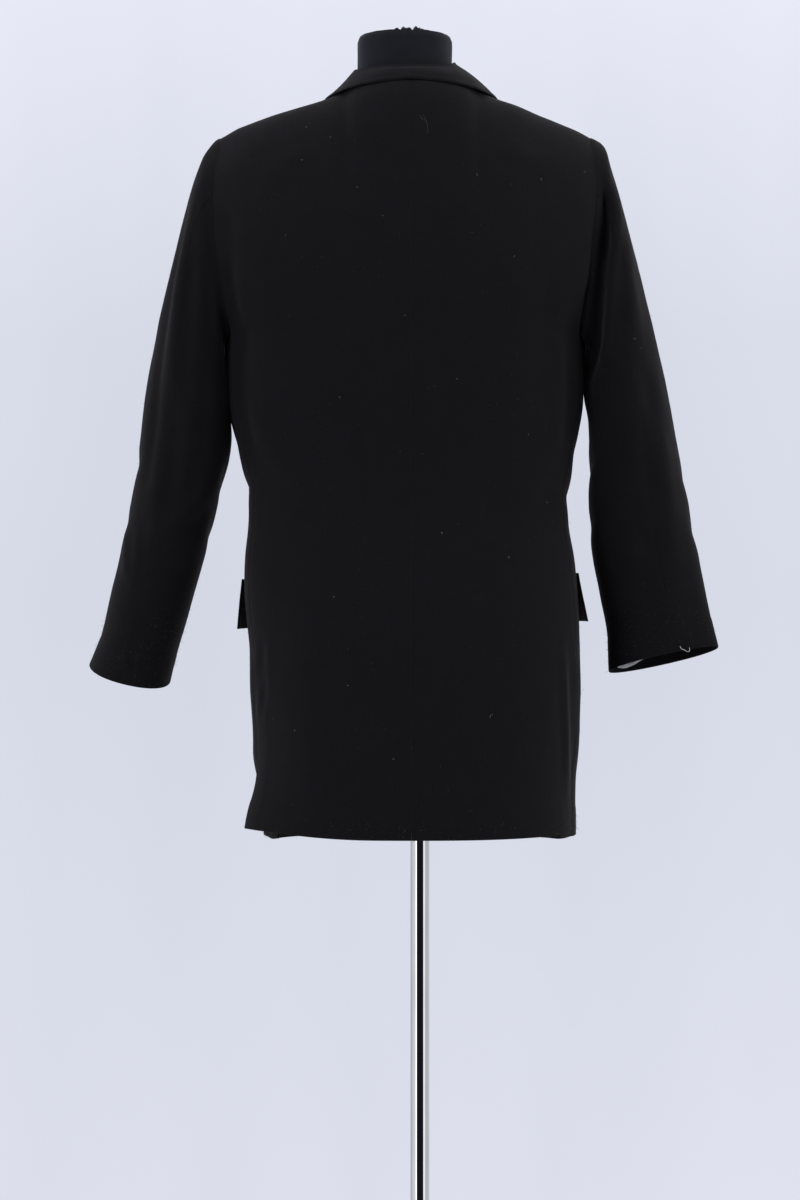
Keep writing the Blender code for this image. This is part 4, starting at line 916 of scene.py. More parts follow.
def creased(creases, points, normals):
    """The height of the creases at each point, by the view that they are placed on."""
    lift = np.zeros(points.shape[:-1])
    for crease in creases:
        view = VIEWS[crease.view]
        facing = smooth((normals @ np.array(view.towards) - 0.05) / 0.35)
        run = np.array([crease.a1 - crease.a0, crease.z1 - crease.z0])
        length = np.linalg.norm(run)
        a = points[..., view.axis] - crease.a0
        z = points[..., 2] - crease.z0
        share = (a * run[0] + z * run[1]) / length**2
        bend = crease.bow * 4 * np.clip(share, 0, 1) * (1 - np.clip(share, 0, 1))
        away = ((a * run[1] - z * run[0]) / length - bend) / crease.width
        profile = bell(away, 1.0) - CREASE_SIDE_LOBE * bell(abs(away) - 1.9, 0.8)
        lift += crease.depth * tapered(share, 0.45) * facing * profile
    return lift


def unevenness(points):
    """The cloth's small waves, the same at the same place on every piece."""
    flat = points.reshape(-1, 3)
    lift = np.zeros(len(flat))
    for wave in WAVES:
        lift += wave.height * np.array([noise.noise(Vector(point / wave.size)) for point in flat])
    return lift.reshape(points.shape[:-1])


def folds_on(folds, side, along, around, along_scale, around_scale):
    """The height of the large folds at a point or on a grid, each a soft ridge or trough."""
    lift = np.zeros(np.broadcast(along, around).shape)
    here_a, here_b = along * along_scale, around * around_scale
    for fold in folds:
        if fold.side != side:
            continue
        start = np.array([fold[1] * along_scale, fold[2] * around_scale])
        run = np.array([fold[3] * along_scale, fold[4] * around_scale]) - start
        share = ((here_a - start[0]) * run[0] + (here_b - start[1]) * run[1]) / (run @ run)
        held = np.clip(share, 0, 1)
        away = np.hypot(here_a - start[0] - run[0] * held, here_b - start[1] - run[1] * held)
        lift += fold.depth * tapered(share, 0.4) * bell(away, fold.width)
    return lift


def lengths(grid, axis):
    """How far each point is from the first and from the last one, along an axis of the grid."""
    steps = np.linalg.norm(np.diff(grid, axis=axis), axis=-1)
    start = np.zeros(grid.shape[:2])
    if axis == 0:
        start[1:] = np.cumsum(steps, axis=0)
        return start, start[-1:] - start
    start[:, 1:] = np.cumsum(steps, axis=1)
    return start, start[:, -1:] - start


def rounding(distance, radius=EDGE_RADIUS, closure=0.93):
    """The share of the wall's thickness that is left near an edge."""
    t = np.clip(1 - distance / radius, 0, 1)
    return np.sqrt(1 - (closure * t) ** 2)


def sink(distance, depth=SEAM_SINK, width=SEAM_SINK_WIDTH):
    """How deep the cloth sinks beside a seam."""
    return -depth * bell(distance, width)


def armhole_sink(distance, levels):
    """How deep the cloth sinks beside the armhole, less towards the shoulder."""
    lower = smooth((ARMHOLE_SINK_TOP - levels) / 0.4)
    return sink(distance, ARMHOLE_SINK, ARMHOLE_SINK_WIDTH) * lower


def turn_in(distance, reach, rise=TURN_IN_RISE):
    """How much thicker the cloth is where it is turned in at an edge."""
    return rise * smooth((reach - distance) / TURN_IN_STEP)


def steps_between(first, last, count, unit, start=True, end=True):
    """Even steps with close ones beside the ends.

    Unit turns metres into the steps' own unit: for shares it is one over the run's length.
    """
    run = abs(last - first)
    direction = math.copysign(1.0, last - first)
    places = {round(run * i / count, 7) for i in range(count + 1)}
    kept_off = EDGE_STEPS[-1] * unit + 0.6 * run / count
    places = {place for place in places if kept_off < place < run - kept_off} | {0.0, round(run, 7)}
    if start:
        places |= {round(step * unit, 7) for step in EDGE_STEPS}
    if end:
        places |= {round(run - step * unit, 7) for step in EDGE_STEPS}
    return [first + direction * place for place in sorted(places)]


def cloth_mesh(name, outer, inner, finish, uv, keep=None, turned=False, closed=False):
    """A shell between two skins, with rounded edges, and the cloth's own coordinates in metres."""
    rows, columns = outer.shape[:2]
    count = rows * columns
    points = np.concatenate([outer.reshape(-1, 3), inner.reshape(-1, 3)])
    skin_faces = []
    last = columns if closed else columns - 1
    for i in range(rows - 1):
        for j in range(last):
            if keep is None or keep(i, j):
                k = (j + 1) % columns
                face = (i * columns + j, i * columns + k, (i + 1) * columns + k, (i + 1) * columns + j)
                skin_faces.append(face[::-1] if turned else face)
    edges = {(face[k - 1], face[k]) for face in skin_faces for k in range(4)}
    rim = [(b, a, a + count, b + count) for a, b in sorted(edges) if (b, a) not in edges]
    lining_faces = [tuple(index + count for index in reversed(face)) for face in skin_faces]
    mesh = bpy.data.meshes.new(name)
    mesh.from_pydata(points.tolist(), [], skin_faces + lining_faces + rim)
    layer = mesh.uv_layers.new(name="cloth")
    flat = np.concatenate([uv.reshape(-1, 2), uv.reshape(-1, 2)])
    loops = np.zeros(len(mesh.loops), np.int32)
    mesh.loops.foreach_get("vertex_index", loops)
    layer.data.foreach_set("uv", flat[loops].astype(np.float32).ravel())
    shaped = bmesh.new()
    shaped.from_mesh(mesh)
    loose = [vertex for vertex in shaped.verts if not vertex.link_faces]
    bmesh.ops.delete(shaped, geom=loose, context="VERTS")
    shaped.to_mesh(mesh)
    shaped.free()
    mesh.materials.append(finish)
    mesh.shade_smooth()
    return placed(name, mesh)


def cloth_uv(grid, anchor):
    """Distances across and along the cloth, in metres, from a column of the grid."""
    across, _ = lengths(grid, 1)
    along, _ = lengths(grid, 0)
    across = across - across[:, anchor : anchor + 1]
    return np.stack([across, np.broadcast_to(along[:, anchor : anchor + 1], across.shape)], axis=-1)


def two_sides(points, normals, lift, wall, free, sewn=None):
    """The outer and inner skins of a wall that thins to a round edge, less so where it is sewn."""
    left = rounding(free)
    if sewn is not None:
        left = left * rounding(sewn, SEWN_RADIUS, SEWN_CLOSURE)
    spare = wall * (1 - left) / 2
    outer = points + normals * (lift - spare)[..., None]
    inner = points + normals * (lift - wall + spare)[..., None]
    return outer, inner


# ---- body panels

# How each body panel's points were moved, so that the sleeves can follow the armhole's edge
Moves = namedtuple("Moves", "levels angles moves normals")
PANEL_MOVES = {}


def fine_levels():
    """Levels from hem to shoulder, close together at both ends."""
    unit = 1 / (ARMPIT - BACK_HEM)
    low = steps_between(0.0, VENT_LEVEL, 42, unit, True, False)
    middle = [mix(VENT_LEVEL, 1.0, (i + 1) / 70) for i in range(70)]
    high = [1 + (i + 1) / 62 for i in range(62)]
    return low + middle + high[:-1] + [1.993, 1.998, 2.0]


def body_grid(angles_at, levels, side, front):
    """A grid of points of the body, a row for each level."""
    rows = []
    for level in levels:
        rows.append([body_point(angle, level, side, front) for angle in angles_at(level)])
    return np.array(rows)


def body_lift(points, normals, side, angles):
    """The large folds, the creases and the unevenness of a body panel."""
    lift = folds_on(BODY_FOLDS, side, points[..., 2], angles, *BODY_FOLD_SCALES)
    lift += creased(BODY_CREASES, points, normals)
    quiet = 1 - 0.75 * smooth((points[..., 2] - SHOULDER_QUIET_FROM) / 0.02)
    return lift * quiet + unevenness(points) * quiet


def armhole_move(turn, side):
    """How far the body's edge was moved at one place of the armhole, and which way it faces."""
    angle, level = armhole_place(turn)
    panel = PANEL_MOVES[side, turn % 360 > 180 or level == 1.0]
    place = np.interp(level, panel.levels, range(len(panel.levels)))
    low = min(int(place), len(panel.levels) - 2)
    found = []
    for row in (low, low + 1):
        angles = panel.angles[row]
        both = np.concatenate([panel.moves[row], panel.normals[row]], axis=-1)
        found.append([np.interp(angle, angles, both[:, k]) for k in range(6)])
    both = mix(np.array(found[0]), np.array(found[1]), place - low)
    return both[:3], both[3:] / np.linalg.norm(both[3:])


def back_cloth(side, finish):
    """Half of the back, from the centre seam to the side seam and the armhole."""
    levels = fine_levels()
    shares = steps_between(0.0, 1.0, 46, 1 / 0.225)

    def angles_at(level):
        last = SIDE_SEAM_ANGLE - SIDE_CLOSURE if level <= 1 else edge_angle(level)
        return [last * share for share in shares]

    points = body_grid(angles_at, levels, side, False)
    points[:, 0, 0] += side * CENTRE_CLOSURE
    angles = np.array([angles_at(level) for level in levels])
    normals = grid_normals(points, side)
    from_hem, from_shoulder = lengths(points, 0)
    from_centre, from_side = lengths(points, 1)
    level_of = np.array(levels)[:, None]
    above, in_vent = level_of > 1.0, level_of < VENT_LEVEL
    lift = body_lift(points, normals, side, angles)
    lift += sink(from_centre, *PANEL_SEAM) + sink(from_shoulder)
    beside = np.where(in_vent, 0.0, sink(from_side))
    lift += np.where(above, armhole_sink(from_side, level_of), beside)
    lift += turn_in(from_hem, HEM_TURN_UP)
    lift += np.where(in_vent, turn_in(from_side, VENT_TURN_IN), 0.0)
    PANEL_MOVES[side, False] = Moves(levels, angles, normals * lift[..., None], normals)
    free = np.where(in_vent, np.minimum(from_hem, from_side), from_hem)
    sewn = np.minimum(from_shoulder, from_centre)
    sewn = np.where(in_vent, sewn, np.minimum(sewn, from_side))
    outer, inner = two_sides(points, normals, lift, WALL, free, sewn)
    uv = cloth_uv(points, 0)
    return cloth_mesh("back_cloth_" + SIDE_NAMES[side], outer, inner, finish, uv, turned=side > 0)


def front_cloth(side, finish):
    """The front with its side panel, which laps under the back below the vent's top."""
    levels = fine_levels()
    seam = SIDE_SEAM_ANGLE + SIDE_CLOSURE
    lap = steps_between(0.0, 1.0, 7, 1 / 0.036, True, False)[:-1]
    panel = steps_between(0.0, 1.0, 24, 1 / 0.118, True, False)[:-1]
    front = steps_between(0.0, 1.0, 50, 1 / 0.26)
    seam_column, armhole_column = len(lap), len(lap) + len(panel)

    def angles_at(level):
        height = body_point(160, level, side, True)[2]
        armhole = 180 - (SIDE_SEAM_ANGLE if level <= 1 else edge_angle(level))
        edge = angle_of_across(front_edge_across(height), level, side)
        row = [mix(seam - VENT_LAP_ANGLE * VENT_LAP_COLUMNS, seam, t) for t in lap]
        row += [mix(seam, 180 - SIDE_SEAM_ANGLE, t) for t in panel]
        return row + [mix(armhole, edge, t) for t in front]

    points = body_grid(angles_at, levels, side, True)
    angles = np.array([angles_at(level) for level in levels])
    normals = grid_normals(points, side)
    from_hem, from_shoulder = lengths(points, 0)
    from_lap, from_edge = lengths(points, 1)
    from_seam = abs(from_lap - from_lap[:, seam_column : seam_column + 1])
    from_armhole = abs(from_lap - from_lap[:, armhole_column : armhole_column + 1])
    level_of = np.array(levels)[:, None]
    columns = np.arange(points.shape[1])[None, :]
    above, in_vent = level_of > 1.0, level_of < VENT_LEVEL
    lift = body_lift(points, normals, side, angles)
    lift += np.where(in_vent, 0.0, sink(from_seam)) + sink(from_shoulder)
    lift += np.where(above, armhole_sink(from_armhole, level_of), sink(from_armhole, *PANEL_SEAM))
    lift += turn_in(from_hem, HEM_TURN_UP)
    # the pocket's mouth, a sewn line just above the flap, and the chest dart
    mouth = abs(points[..., 2] - FLAP_TOPS[side] - MOUTH_ABOVE_FLAP)
    beside = smooth(angles - FLAP_START_ANGLE + MOUTH_BEYOND)
    beside = beside * smooth(FLAP_END_ANGLE + MOUTH_BEYOND - angles)
    lift -= MOUTH_DEPTH * bell(mouth, MOUTH_WIDTH) * beside
    dart = abs(angles - DART_ANGLE) / 180 * math.pi * 0.15
    dart_run = smooth((points[..., 2] - DART_END) / 0.03) * smooth((DART_TOP - points[..., 2]) / 0.03)
    lift -= DART_DEPTH * bell(dart, DART_WIDTH) * dart_run
    lap_sink = smooth((VENT_TOP + 0.004 - points[..., 2]) / 0.020) * smooth((seam + 7.0 - angles) / 7.0)
    lift -= (WALL + VENT_LAP_GAP) * lap_sink * (columns < armhole_column)
    PANEL_MOVES[side, True] = Moves(levels, angles, normals * lift[..., None], normals)
    free = nearest(from_hem, from_edge, from_lap)
    sewn = np.broadcast_to(from_shoulder, free.shape)
    sewn = np.where(above & (columns >= armhole_column), np.minimum(sewn, from_armhole), sewn)
    on_side = ~in_vent & (columns <= armhole_column)
    sewn = np.where(on_side, np.minimum(sewn, from_seam), sewn)
    outer, inner = two_sides(points, normals, lift, WALL, free, sewn)
    outer[-1, :, 1] -= CENTRE_CLOSURE
    inner[-1, :, 1] -= CENTRE_CLOSURE
    vent_row = min(i for i, level in enumerate(levels) if level >= VENT_LEVEL)
    armpit_row = min(i for i, level in enumerate(levels) if level >= 1.0)

    def keep(i, j):
        if j < seam_column:
            return i < vent_row - 1
        if j < armhole_column:
            return i < armpit_row
        return True

    uv = cloth_uv(points, armhole_column)
    name = "front_cloth_" + SIDE_NAMES[side]
    return cloth_mesh(name, outer, inner, finish, uv, keep, turned=side > 0)


def sleeve_cloth(name, side, first, last, count, finish):
    """One of a sleeve's two pieces, with its rolled head and its creases."""
    near = [0.0, 0.0016, 0.0040, 0.0075, 0.0120]
    alongs = near + [mix(0.018, HEAD_SHARE, (i / 44) ** 1.05) for i in range(45)]
    alongs += [mix(HEAD_SHARE, 1.0, (i + 1) / 70) for i in range(69)]
    alongs += [1 - 0.0040, 1 - 0.0018, 1 - 0.0008, 1.0]
    turns = steps_between(first + SLEEVE_CLOSURE, last - SLEEVE_CLOSURE, count, 1150.0)
    points = np.array([[sleeve_point(along, turn, side) for turn in turns] for along in alongs])
    from_head, from_cuff = lengths(points, 0)
    from_first, from_last = lengths(points, 1)
    # the head's edge follows the armhole as it lies in its folds
    edge = [armhole_move(turn, side) for turn in turns]
    moves = np.array([move for move, _ in edge])
    faces_to = np.array([normal for _, normal in edge])
    moves[:, 0] -= side * (ARMHOLE_GAP - ARMHOLE_CLOSURE)
    points = points + moves[None] * (1 - smooth(from_head / HEAD_SETTLE))[..., None]
    normals = grid_normals(points, side)
    along_grid, turn_grid = np.meshgrid(alongs, turns, indexing="ij")
    lift = folds_on(SLEEVE_FOLDS, side, along_grid, turn_grid % 360, *SLEEVE_FOLD_SCALES)
    lift += creased(SLEEVE_CREASES, points, normals) + unevenness(points)
    lift += creased(UNDERARM_CREASES[side], points, normals)
    # the head is eased into the armhole: it rolls up a little beside the seam, most at its top
    head = 0.5 + 0.5 * np.cos(np.radians(turn_grid))
    lift += HEAD_ROLL[side] * head * bell(from_head - HEAD_ROLL_AT, HEAD_ROLL_WIDTH)
    lift *= smooth(from_head / HEAD_LIFTS_FROM)
    seams = sink(from_first, SLEEVE_SEAM_SINK) + sink(from_last, SLEEVE_SEAM_SINK)
    lift += seams * smooth(from_head / 0.01)
    lift += turn_in(from_cuff, CUFF_TURN_UP, CUFF_RISE)
    sewn = nearest(from_head, from_first, from_last)
    outer, inner = two_sides(points, normals, lift, WALL, from_cuff, sewn)
    uv = cloth_uv(points, len(turns) // 2)
    made = cloth_mesh(name, outer, inner, finish, uv, turned=side > 0)
    run_on(made, faces_to, 1 - smooth(from_head / HEAD_SHADED))
    return made


def run_on(made, faces_to, share):
    """Turn the skin's shading at its first edge towards the neighbour that it is sewn to."""
    mesh = made.data
    normals = np.array([tuple(vertex.normal) for vertex in mesh.vertices])
    own = normals[: share.size].reshape(share.shape + (3,))
    agree = smooth(((own[3] * faces_to).sum(axis=-1) - 0.25) / 0.4)
    share = 0.9 * (share * agree)[..., None]
    turned = own * (1 - share) + faces_to[None] * share
    turned /= np.linalg.norm(turned, axis=-1, keepdims=True)
    normals[: share.size] = turned.reshape(-1, 3)
    mesh.normals_split_custom_set_from_vertices(normals.tolist())


def spline(points, count):
    """A smooth line through the points, with more points on it."""
    points = np.array(points)
    padded = np.concatenate([[2 * points[0] - points[1]], points, [2 * points[-1] - points[-2]]])
    out = []
    for place in np.linspace(0, len(points) - 1, count):
        i = min(int(place), len(points) - 2)
        t = place - i
        a, b, c, d = padded[i : i + 4]
        bend = (2 * a - 5 * b + 4 * c - d) * t**2 + (3 * b - a - 3 * c + d) * t**3
        out.append(0.5 * (2 * b + (c - a) * t + bend))
    return np.array(out)


def collar_cloth(finish):
    """The collar, stand and fall in one."""
    half = steps_between(0.0, 1.0, 64, 1 / 0.21, False, True)
    places = [(-1, place) for place in reversed(half[1:])] + [(1, place) for place in half]
    grid = np.array([spline(collar_path(place, side), 34) for side, place in places])
    normals = grid_normals(grid, 1)
    middle = grid.shape[0] // 2
    if normals[middle, -6][1] < 0:
        normals = -normals
    from_foot, from_edge = lengths(grid, 1)
    from_right, from_left = lengths(grid, 0)
    lift = creased(COLLAR_CREASES, grid, normals) + unevenness(grid) * 0.35
    lift += turn_in(from_edge, ENCLOSED_SEAM)
    edge = nearest(from_foot, from_edge, from_right, from_left)
    outer, inner = two_sides(grid, normals, lift, FOLDED_WALL, edge)
    uv = cloth_uv(grid, 0)[..., ::-1]
    return cloth_mesh("collar_cloth", outer, inner, finish, uv, turned=True)


def lapel_cloth(side, finish):
    """A lapel rolls round the front's edge and lies on the front."""
    ups = steps_between(0.0, 1.0, 84, 1 / 0.37)
    shares = steps_between(0.0, 1.0, 26, 1 / 0.09, False, True)
    flat = np.array([[lapel_point(up, share, side) for share in shares] for up in ups])
    normals = grid_normals(flat, side)
    if normals[40, 10][1] > 0:
        normals = -normals
    lift = creased(BODY_CREASES, flat, normals) + unevenness(flat)
    from_low, from_gorge = lengths(flat, 0)
    _, from_edge = lengths(flat, 1)
    lift += turn_in(from_edge, ENCLOSED_SEAM)
    edge = nearest(from_low, from_gorge, from_edge)
    outer, inner = two_sides(flat, normals, lift, FOLDED_WALL, edge)
    # the roll, from the lapel's inner line round the edge of the front
    inward = outer[:, 0] - outer[:, 1]
    inward /= np.linalg.norm(inward, axis=1, keepdims=True)
    radius = mix(LAPEL_ROLL_START_RADIUS, LAPEL_ROLL_RADIUS, smooth(np.array(ups) / 0.15))[:, None]
    skins = []
    for skin_grid, depth in ((outer, 0.0), (inner, FOLDED_WALL)):
        rolled = []
        for turn in np.radians(np.linspace(165, 15, 11)):
            reach = (radius - depth) * math.sin(turn)
            down = radius - (radius - depth) * math.cos(turn)
            rolled.append(outer[:, 0] + inward * reach - normals[:, 0] * down)
        skins.append(np.concatenate([np.stack(rolled, axis=1), skin_grid], axis=1))
    uv = cloth_uv(skins[0], 11)
    name = "lapel_cloth_" + SIDE_NAMES[side]
    return cloth_mesh(name, skins[0], skins[1], finish, uv, turned=side < 0)


def flap_level(down, side):
    """The body's level at a share of a flap's height."""
    climb = (FLAP_TOPS[side] - FLAP_HEIGHT * down - VENT_TOP) / (ARMPIT - VENT_TOP)
    return mix(VENT_LEVEL, 1.0, climb)


def flap_stand_off(down, share):
    """How far a flap stands off the front, more at its lower edge and its hind end."""
    return FOLDED_WALL + FLAP_GAP + FLAP_FLARE * down**1.3 * (1 - FLAP_FLARE_HELD * share)


def flap_cloth(side, finish):
    """A pocket flap, moved out from the front that it hangs on."""
    downs = steps_between(0.0, 1.0, 22, 1 / FLAP_HEIGHT)
    shares = steps_between(0.0, 1.0, 60, 1 / 0.17)
    grid = []
    for down in downs:
        level = flap_level(down, side)
        row = []
        for share in shares:
            corner = FLAP_CORNER_TURN * down**3 * abs(2 * share - 1) ** 6
            angle = mix(FLAP_START_ANGLE, FLAP_END_ANGLE, share) + corner * (0.5 - share)
            row.append(body_point(angle, level, side, True))
        grid.append(row)
    points = np.array(grid)
    normals = grid_normals(points, 1)
    if (normals[10, 30] @ np.array([side, 0.0, 0.0])) < 0:
        normals = -normals
    down_grid, share_grid = np.meshgrid(downs, shares, indexing="ij")
    angles = mix(FLAP_START_ANGLE, FLAP_END_ANGLE, share_grid)
    lift = flap_stand_off(down_grid, share_grid)
    lift += folds_on(BODY_FOLDS, side, points[..., 2], angles, *BODY_FOLD_SCALES)
    lift += creased(BODY_CREASES, points, normals) + unevenness(points)
    lift += 0.0009 * down_grid * np.sin(share_grid * 9.0 + side)
    from_top, from_low = lengths(points, 0)
    from_start, from_end = lengths(points, 1)
    edge = nearest(from_top, from_low, from_start, from_end)
    lift += 0.0003 * smooth((0.006 - edge) / 0.002)
    outer, inner = two_sides(points, normals, lift, FOLDED_WALL, edge)
    uv = cloth_uv(points, 30)
    name = "flap_cloth_" + SIDE_NAMES[side]
    return cloth_mesh(name, outer, inner, finish, uv, turned=side < 0)


def lining_cloth_end(finish):
    """The lining's end in the right cuff: it hangs low at one place and is held high elsewhere."""
    cuff = SLEEVE_RIGHT[-1].height
    steps, columns = 18, 160
    turns = np.arange(columns) * 360 / columns
    low = bell(turns - LINING_LOW_TURN, LINING_LOW_WIDTH)
    around = np.radians(turns)
    setbacks = LINING_HELD - (LINING_HELD - LINING_LOW) * low
    setbacks += 0.0009 * np.sin(around * 11 + 2 * np.sin(around * 3)) * (1 - low)
    rows = []
    for i in range(steps + 1):
        row = []
        for j, turn in enumerate(turns):
            height = cuff + mix(setbacks[j], LINING_SETBACK + LINING_DEPTH, i / steps)
            ring = sleeve_ring(SLEEVE_RIGHT, height)
            row.append(sleeve_ring_point(ring, turn, -1, WALL + LINING_GAP))
        rows.append(row)
    points = np.array(rows)
    normals = points - points.mean(axis=1, keepdims=True)
    normals[..., 2] = 0.0
    normals /= np.linalg.norm(normals, axis=-1, keepdims=True)
    ripple = -0.0005 * (1 + np.sin(around * 17 + 2 * np.sin(around * 3)))[None, :]
    outer = points + normals * ripple[..., None]
    inner = outer - normals * LINING_WALL
    uv = np.stack(np.meshgrid(np.arange(columns) * 0.0022, np.arange(steps + 1) * 0.0030), axis=-1)
    return cloth_mesh("lining_end_right", outer, inner, finish, uv, turned=True, closed=True)


# ---- dress form


def form_cover(finish):
    """The form in its jersey cover, which is gathered on top of the neck block."""
    count = 168
    rings = []
    heights = np.linspace(FORM_BODY[1].height, FORM_BODY[-1].height, 60)
    rings.append(form_ring(FORM_BODY[0], count, sideways(FORM_BODY[0].height, 0.13), 0.0))
    for height in heights:
        sizes = [smooth_column(FORM_BODY, column, height) for column in FormRing._fields[1:]]
        rings.append(form_ring(FormRing(height, *sizes), count, sideways(height, sizes[0]), 0.0))
    for across in np.linspace(FORM_SHOULDERS[0].across, FORM_SHOULDERS[-1].across, 26):
        back = smooth_column(FORM_SHOULDERS, "back_depth", across)
        front = smooth_column(FORM_SHOULDERS, "front_depth", across)
        height = shoulder_height(across) - WALL - FORM_REST_GAP
        ring = FormRing(height, across, back, front)
        rings.append(form_ring(ring, count, sideways(height, across), ridge_y(across, True)))
    for low, high in zip(FORM_NECK[:-3], FORM_NECK[1:-2]):
        steps = max(2, int((high.height - low.height) / 0.004))
        for i in range(steps):
            ring = FormRing(*(mix(a, b, i / steps) for a, b in zip(low, high)))
            rings.append(form_ring(ring, count, FORM_NECK_CENTRE, 0.0))
    # the domed top, drawn together in small gathers
    top = FORM_NECK[-3]
    rings_up = 40
    for i in range(rings_up + 1):
        share = i / rings_up
        scale = math.cos(share * math.pi / 2 * 0.985)
        height = top.height + (NECK_TOP - top.height) * math.sin(share * math.pi / 2)
        ring = FormRing(height, top.half_width * scale, top.back_depth * scale, top.front_depth * scale)
        rings.append(form_ring(ring, count, FORM_NECK_CENTRE, 0.0))
    points = np.array(rings)
    turn = np.radians(np.arange(count) * 360 / count)[None, :]
    z = points[..., 2]
    radius = np.hypot(points[..., 0] - FORM_NECK_CENTRE, points[..., 1])
    dome = smooth((z - top.height + 0.004) / 0.003)
    gathers = np.sin(turn * 21 + 1.7 * np.sin(turn * 4))
    gathers = gathers + 0.6 * np.sin(turn * 34 + 2.3 * np.sin(turn * 5 + 1))
    strength = dome * smooth(radius / 0.012) * smooth((0.058 - radius) / 0.02)
    points[..., 2] += 0.0007 * gathers * strength - 0.0004 * dome
    x, y = points[..., 0] - TUFT_ACROSS, points[..., 1] - TUFT_BACK
    tuft = np.exp(-((x / 0.017) ** 4) - (y / 0.018) ** 2)
    pleats = np.sin(x * 860 + 1.6 * np.sin(y * 150)) + 0.7 * np.sin(x * 510 - 1.2 * np.sin(y * 190 + 1))
    points[..., 2] += TUFT_HEIGHT * dome * tuft * (0.6 + pleats)
    wrinkles = bell(z - NECK_FOLD_HEIGHT, 0.010) * np.sin(turn * 13 + 2 * np.sin(turn * 3))
    outward = np.stack([np.sin(turn), np.cos(turn), 0 * turn], axis=-1)
    points += outward * (0.0004 * wrinkles)[..., None]
    last = (len(points) - 1) * count
    faces = [face for low in range(0, last, count) for face in ring_faces(low, low + count, count, True)]
    faces += [tuple(range(count)), tuple(last + j for j in reversed(range(count)))]
    made = meshed("form_cover", points.reshape(-1, 3).tolist(), faces, finish)
    made.data.set_sharp_from_angle(angle=math.radians(60))
    return made


# ---- buttons, sewing and small things

# A button's profile, in shares of its radius and of half its thickness, and its four holes
BUTTON_PROFILE = (
    (0.0, 0.35), (0.45, 0.38), (0.62, 0.55), (0.74, 0.92), (0.84, 1.0), (0.93, 0.86),
    (0.985, 0.45), (1.0, 0.0), (0.985, -0.45), (0.93, -0.86), (0.86, -1.0), (0.0, -1.0),
)
HOLES = [(0.0019, 0.0019), (-0.0019, 0.0019), (-0.0019, -0.0019), (0.0019, -0.0019)]
HOLE_RADIUS = 0.0009

# Stitches: how far from an edge, and where the buttonholes and the bar over the sleeve's slit lie
STITCH_INSET = 0.0055
LAPEL_STITCH_SHARE = 1 - STITCH_INSET / 0.10
BUTTONHOLE_START = -0.0040
BUTTONHOLE_END = 0.0185
BUTTONHOLE_PITCH = 0.0006
SLIT_TOP_X = 0.3302
SLIT_TOP_Z = 0.8390

# Specks and hairs on the back: place, length, turn in degrees and bend
Lint = namedtuple("Lint", "x z length turn bend")
LINT = table(Lint,
    (0.1282, 1.4356, 0.0022, 30, 1), (0.1005, 1.4223, 0.0018, 120, 0.6),
    (0.1327, 1.3957, 0.0024, 10, 1.2), (0.0706, 1.3625, 0.0022, 160, 0.8),
    (-0.0623, 1.3769, 0.0026, 60, 1), (-0.1343, 1.3747, 0.0032, 80, 0.8),
    (-0.1852, 1.3879, 0.0036, 12, 0.7), (-0.1033, 1.286, 0.0024, 100, 1),
    (-0.24, 1.1985, 0.0024, 150, 0.8), (-0.248, 1.188, 0.0018, 80, 0.5),
    (-0.142, 1.0147, 0.0022, 40, 1.2), (-0.0235, 0.9792, 0.0028, 20, 1),
    (-0.0977, 0.9526, 0.0026, 130, 1), (0.0961, 0.9083, 0.0024, 70, 0.7),
    (0.0806, 0.8108, 0.002, 15, 0.9), (-0.0767, 0.7776, 0.006, 128, 1.4),
    (0.042, 1.33, 0.0018, 55, 0.8), (0.018, 1.22, 0.0016, 140, 0.8), (-0.04, 1.15, 0.0018, 20, 0.8),
    (0.15, 1.31, 0.002, 75, 0.8), (0.09, 1.13, 0.0016, 5, 0.8), (-0.12, 1.09, 0.0018, 100, 0.8),
    (0.03, 0.73, 0.002, 45, 0.8), (0.14, 0.76, 0.0018, 110, 0.8),
)
HAIRS = table(Lint,
    (-0.0008, 1.4406, 0.0095, 54, 0.5), (-0.0069, 1.4334, 0.023, 77, -0.3),
    (-0.0856, 1.4688, 0.006, 95, 0.5), (-0.0895, 1.47, 0.005, 80, 0.4),
)
# A white thread hangs at the right cuff
LOOSE_THREAD = [
    (-0.2990, 0.0015, 0.8520), (-0.3000, 0.0030, 0.8492), (-0.3030, 0.0036, 0.8478),
    (-0.3062, 0.0030, 0.8462), (-0.3088, 0.0034, 0.8458), (-0.3098, 0.0028, 0.8480),
    (-0.3094, 0.0015, 0.8505),
]

# Radii of the threads by what they sew, of the lint, and of the finest hairs
RADII = {
    "edge": 0.00016, "bar": 0.00018, "buttonhole": 0.00022, "slit": 0.00026, "button": 0.00033,
    "loose": 0.00034, "lint": 0.00010, "hair": 0.00009,
}

# Fibres of the nap: how many, the seed of their draws, their lengths and their radii
Nap = namedtuple("Nap", "count seed shortest longest thin thick")
NAP = Nap(5200, 3, 0.0006, 0.0021, 0.00003, 0.00006)
HEM_NAP = Nap(3600, 4, 0.0012, 0.0052, 0.00005, 0.00011)
JERSEY_NAP = Nap(420, 5, 0.0008, 0.0034, 0.00006, 0.00014)


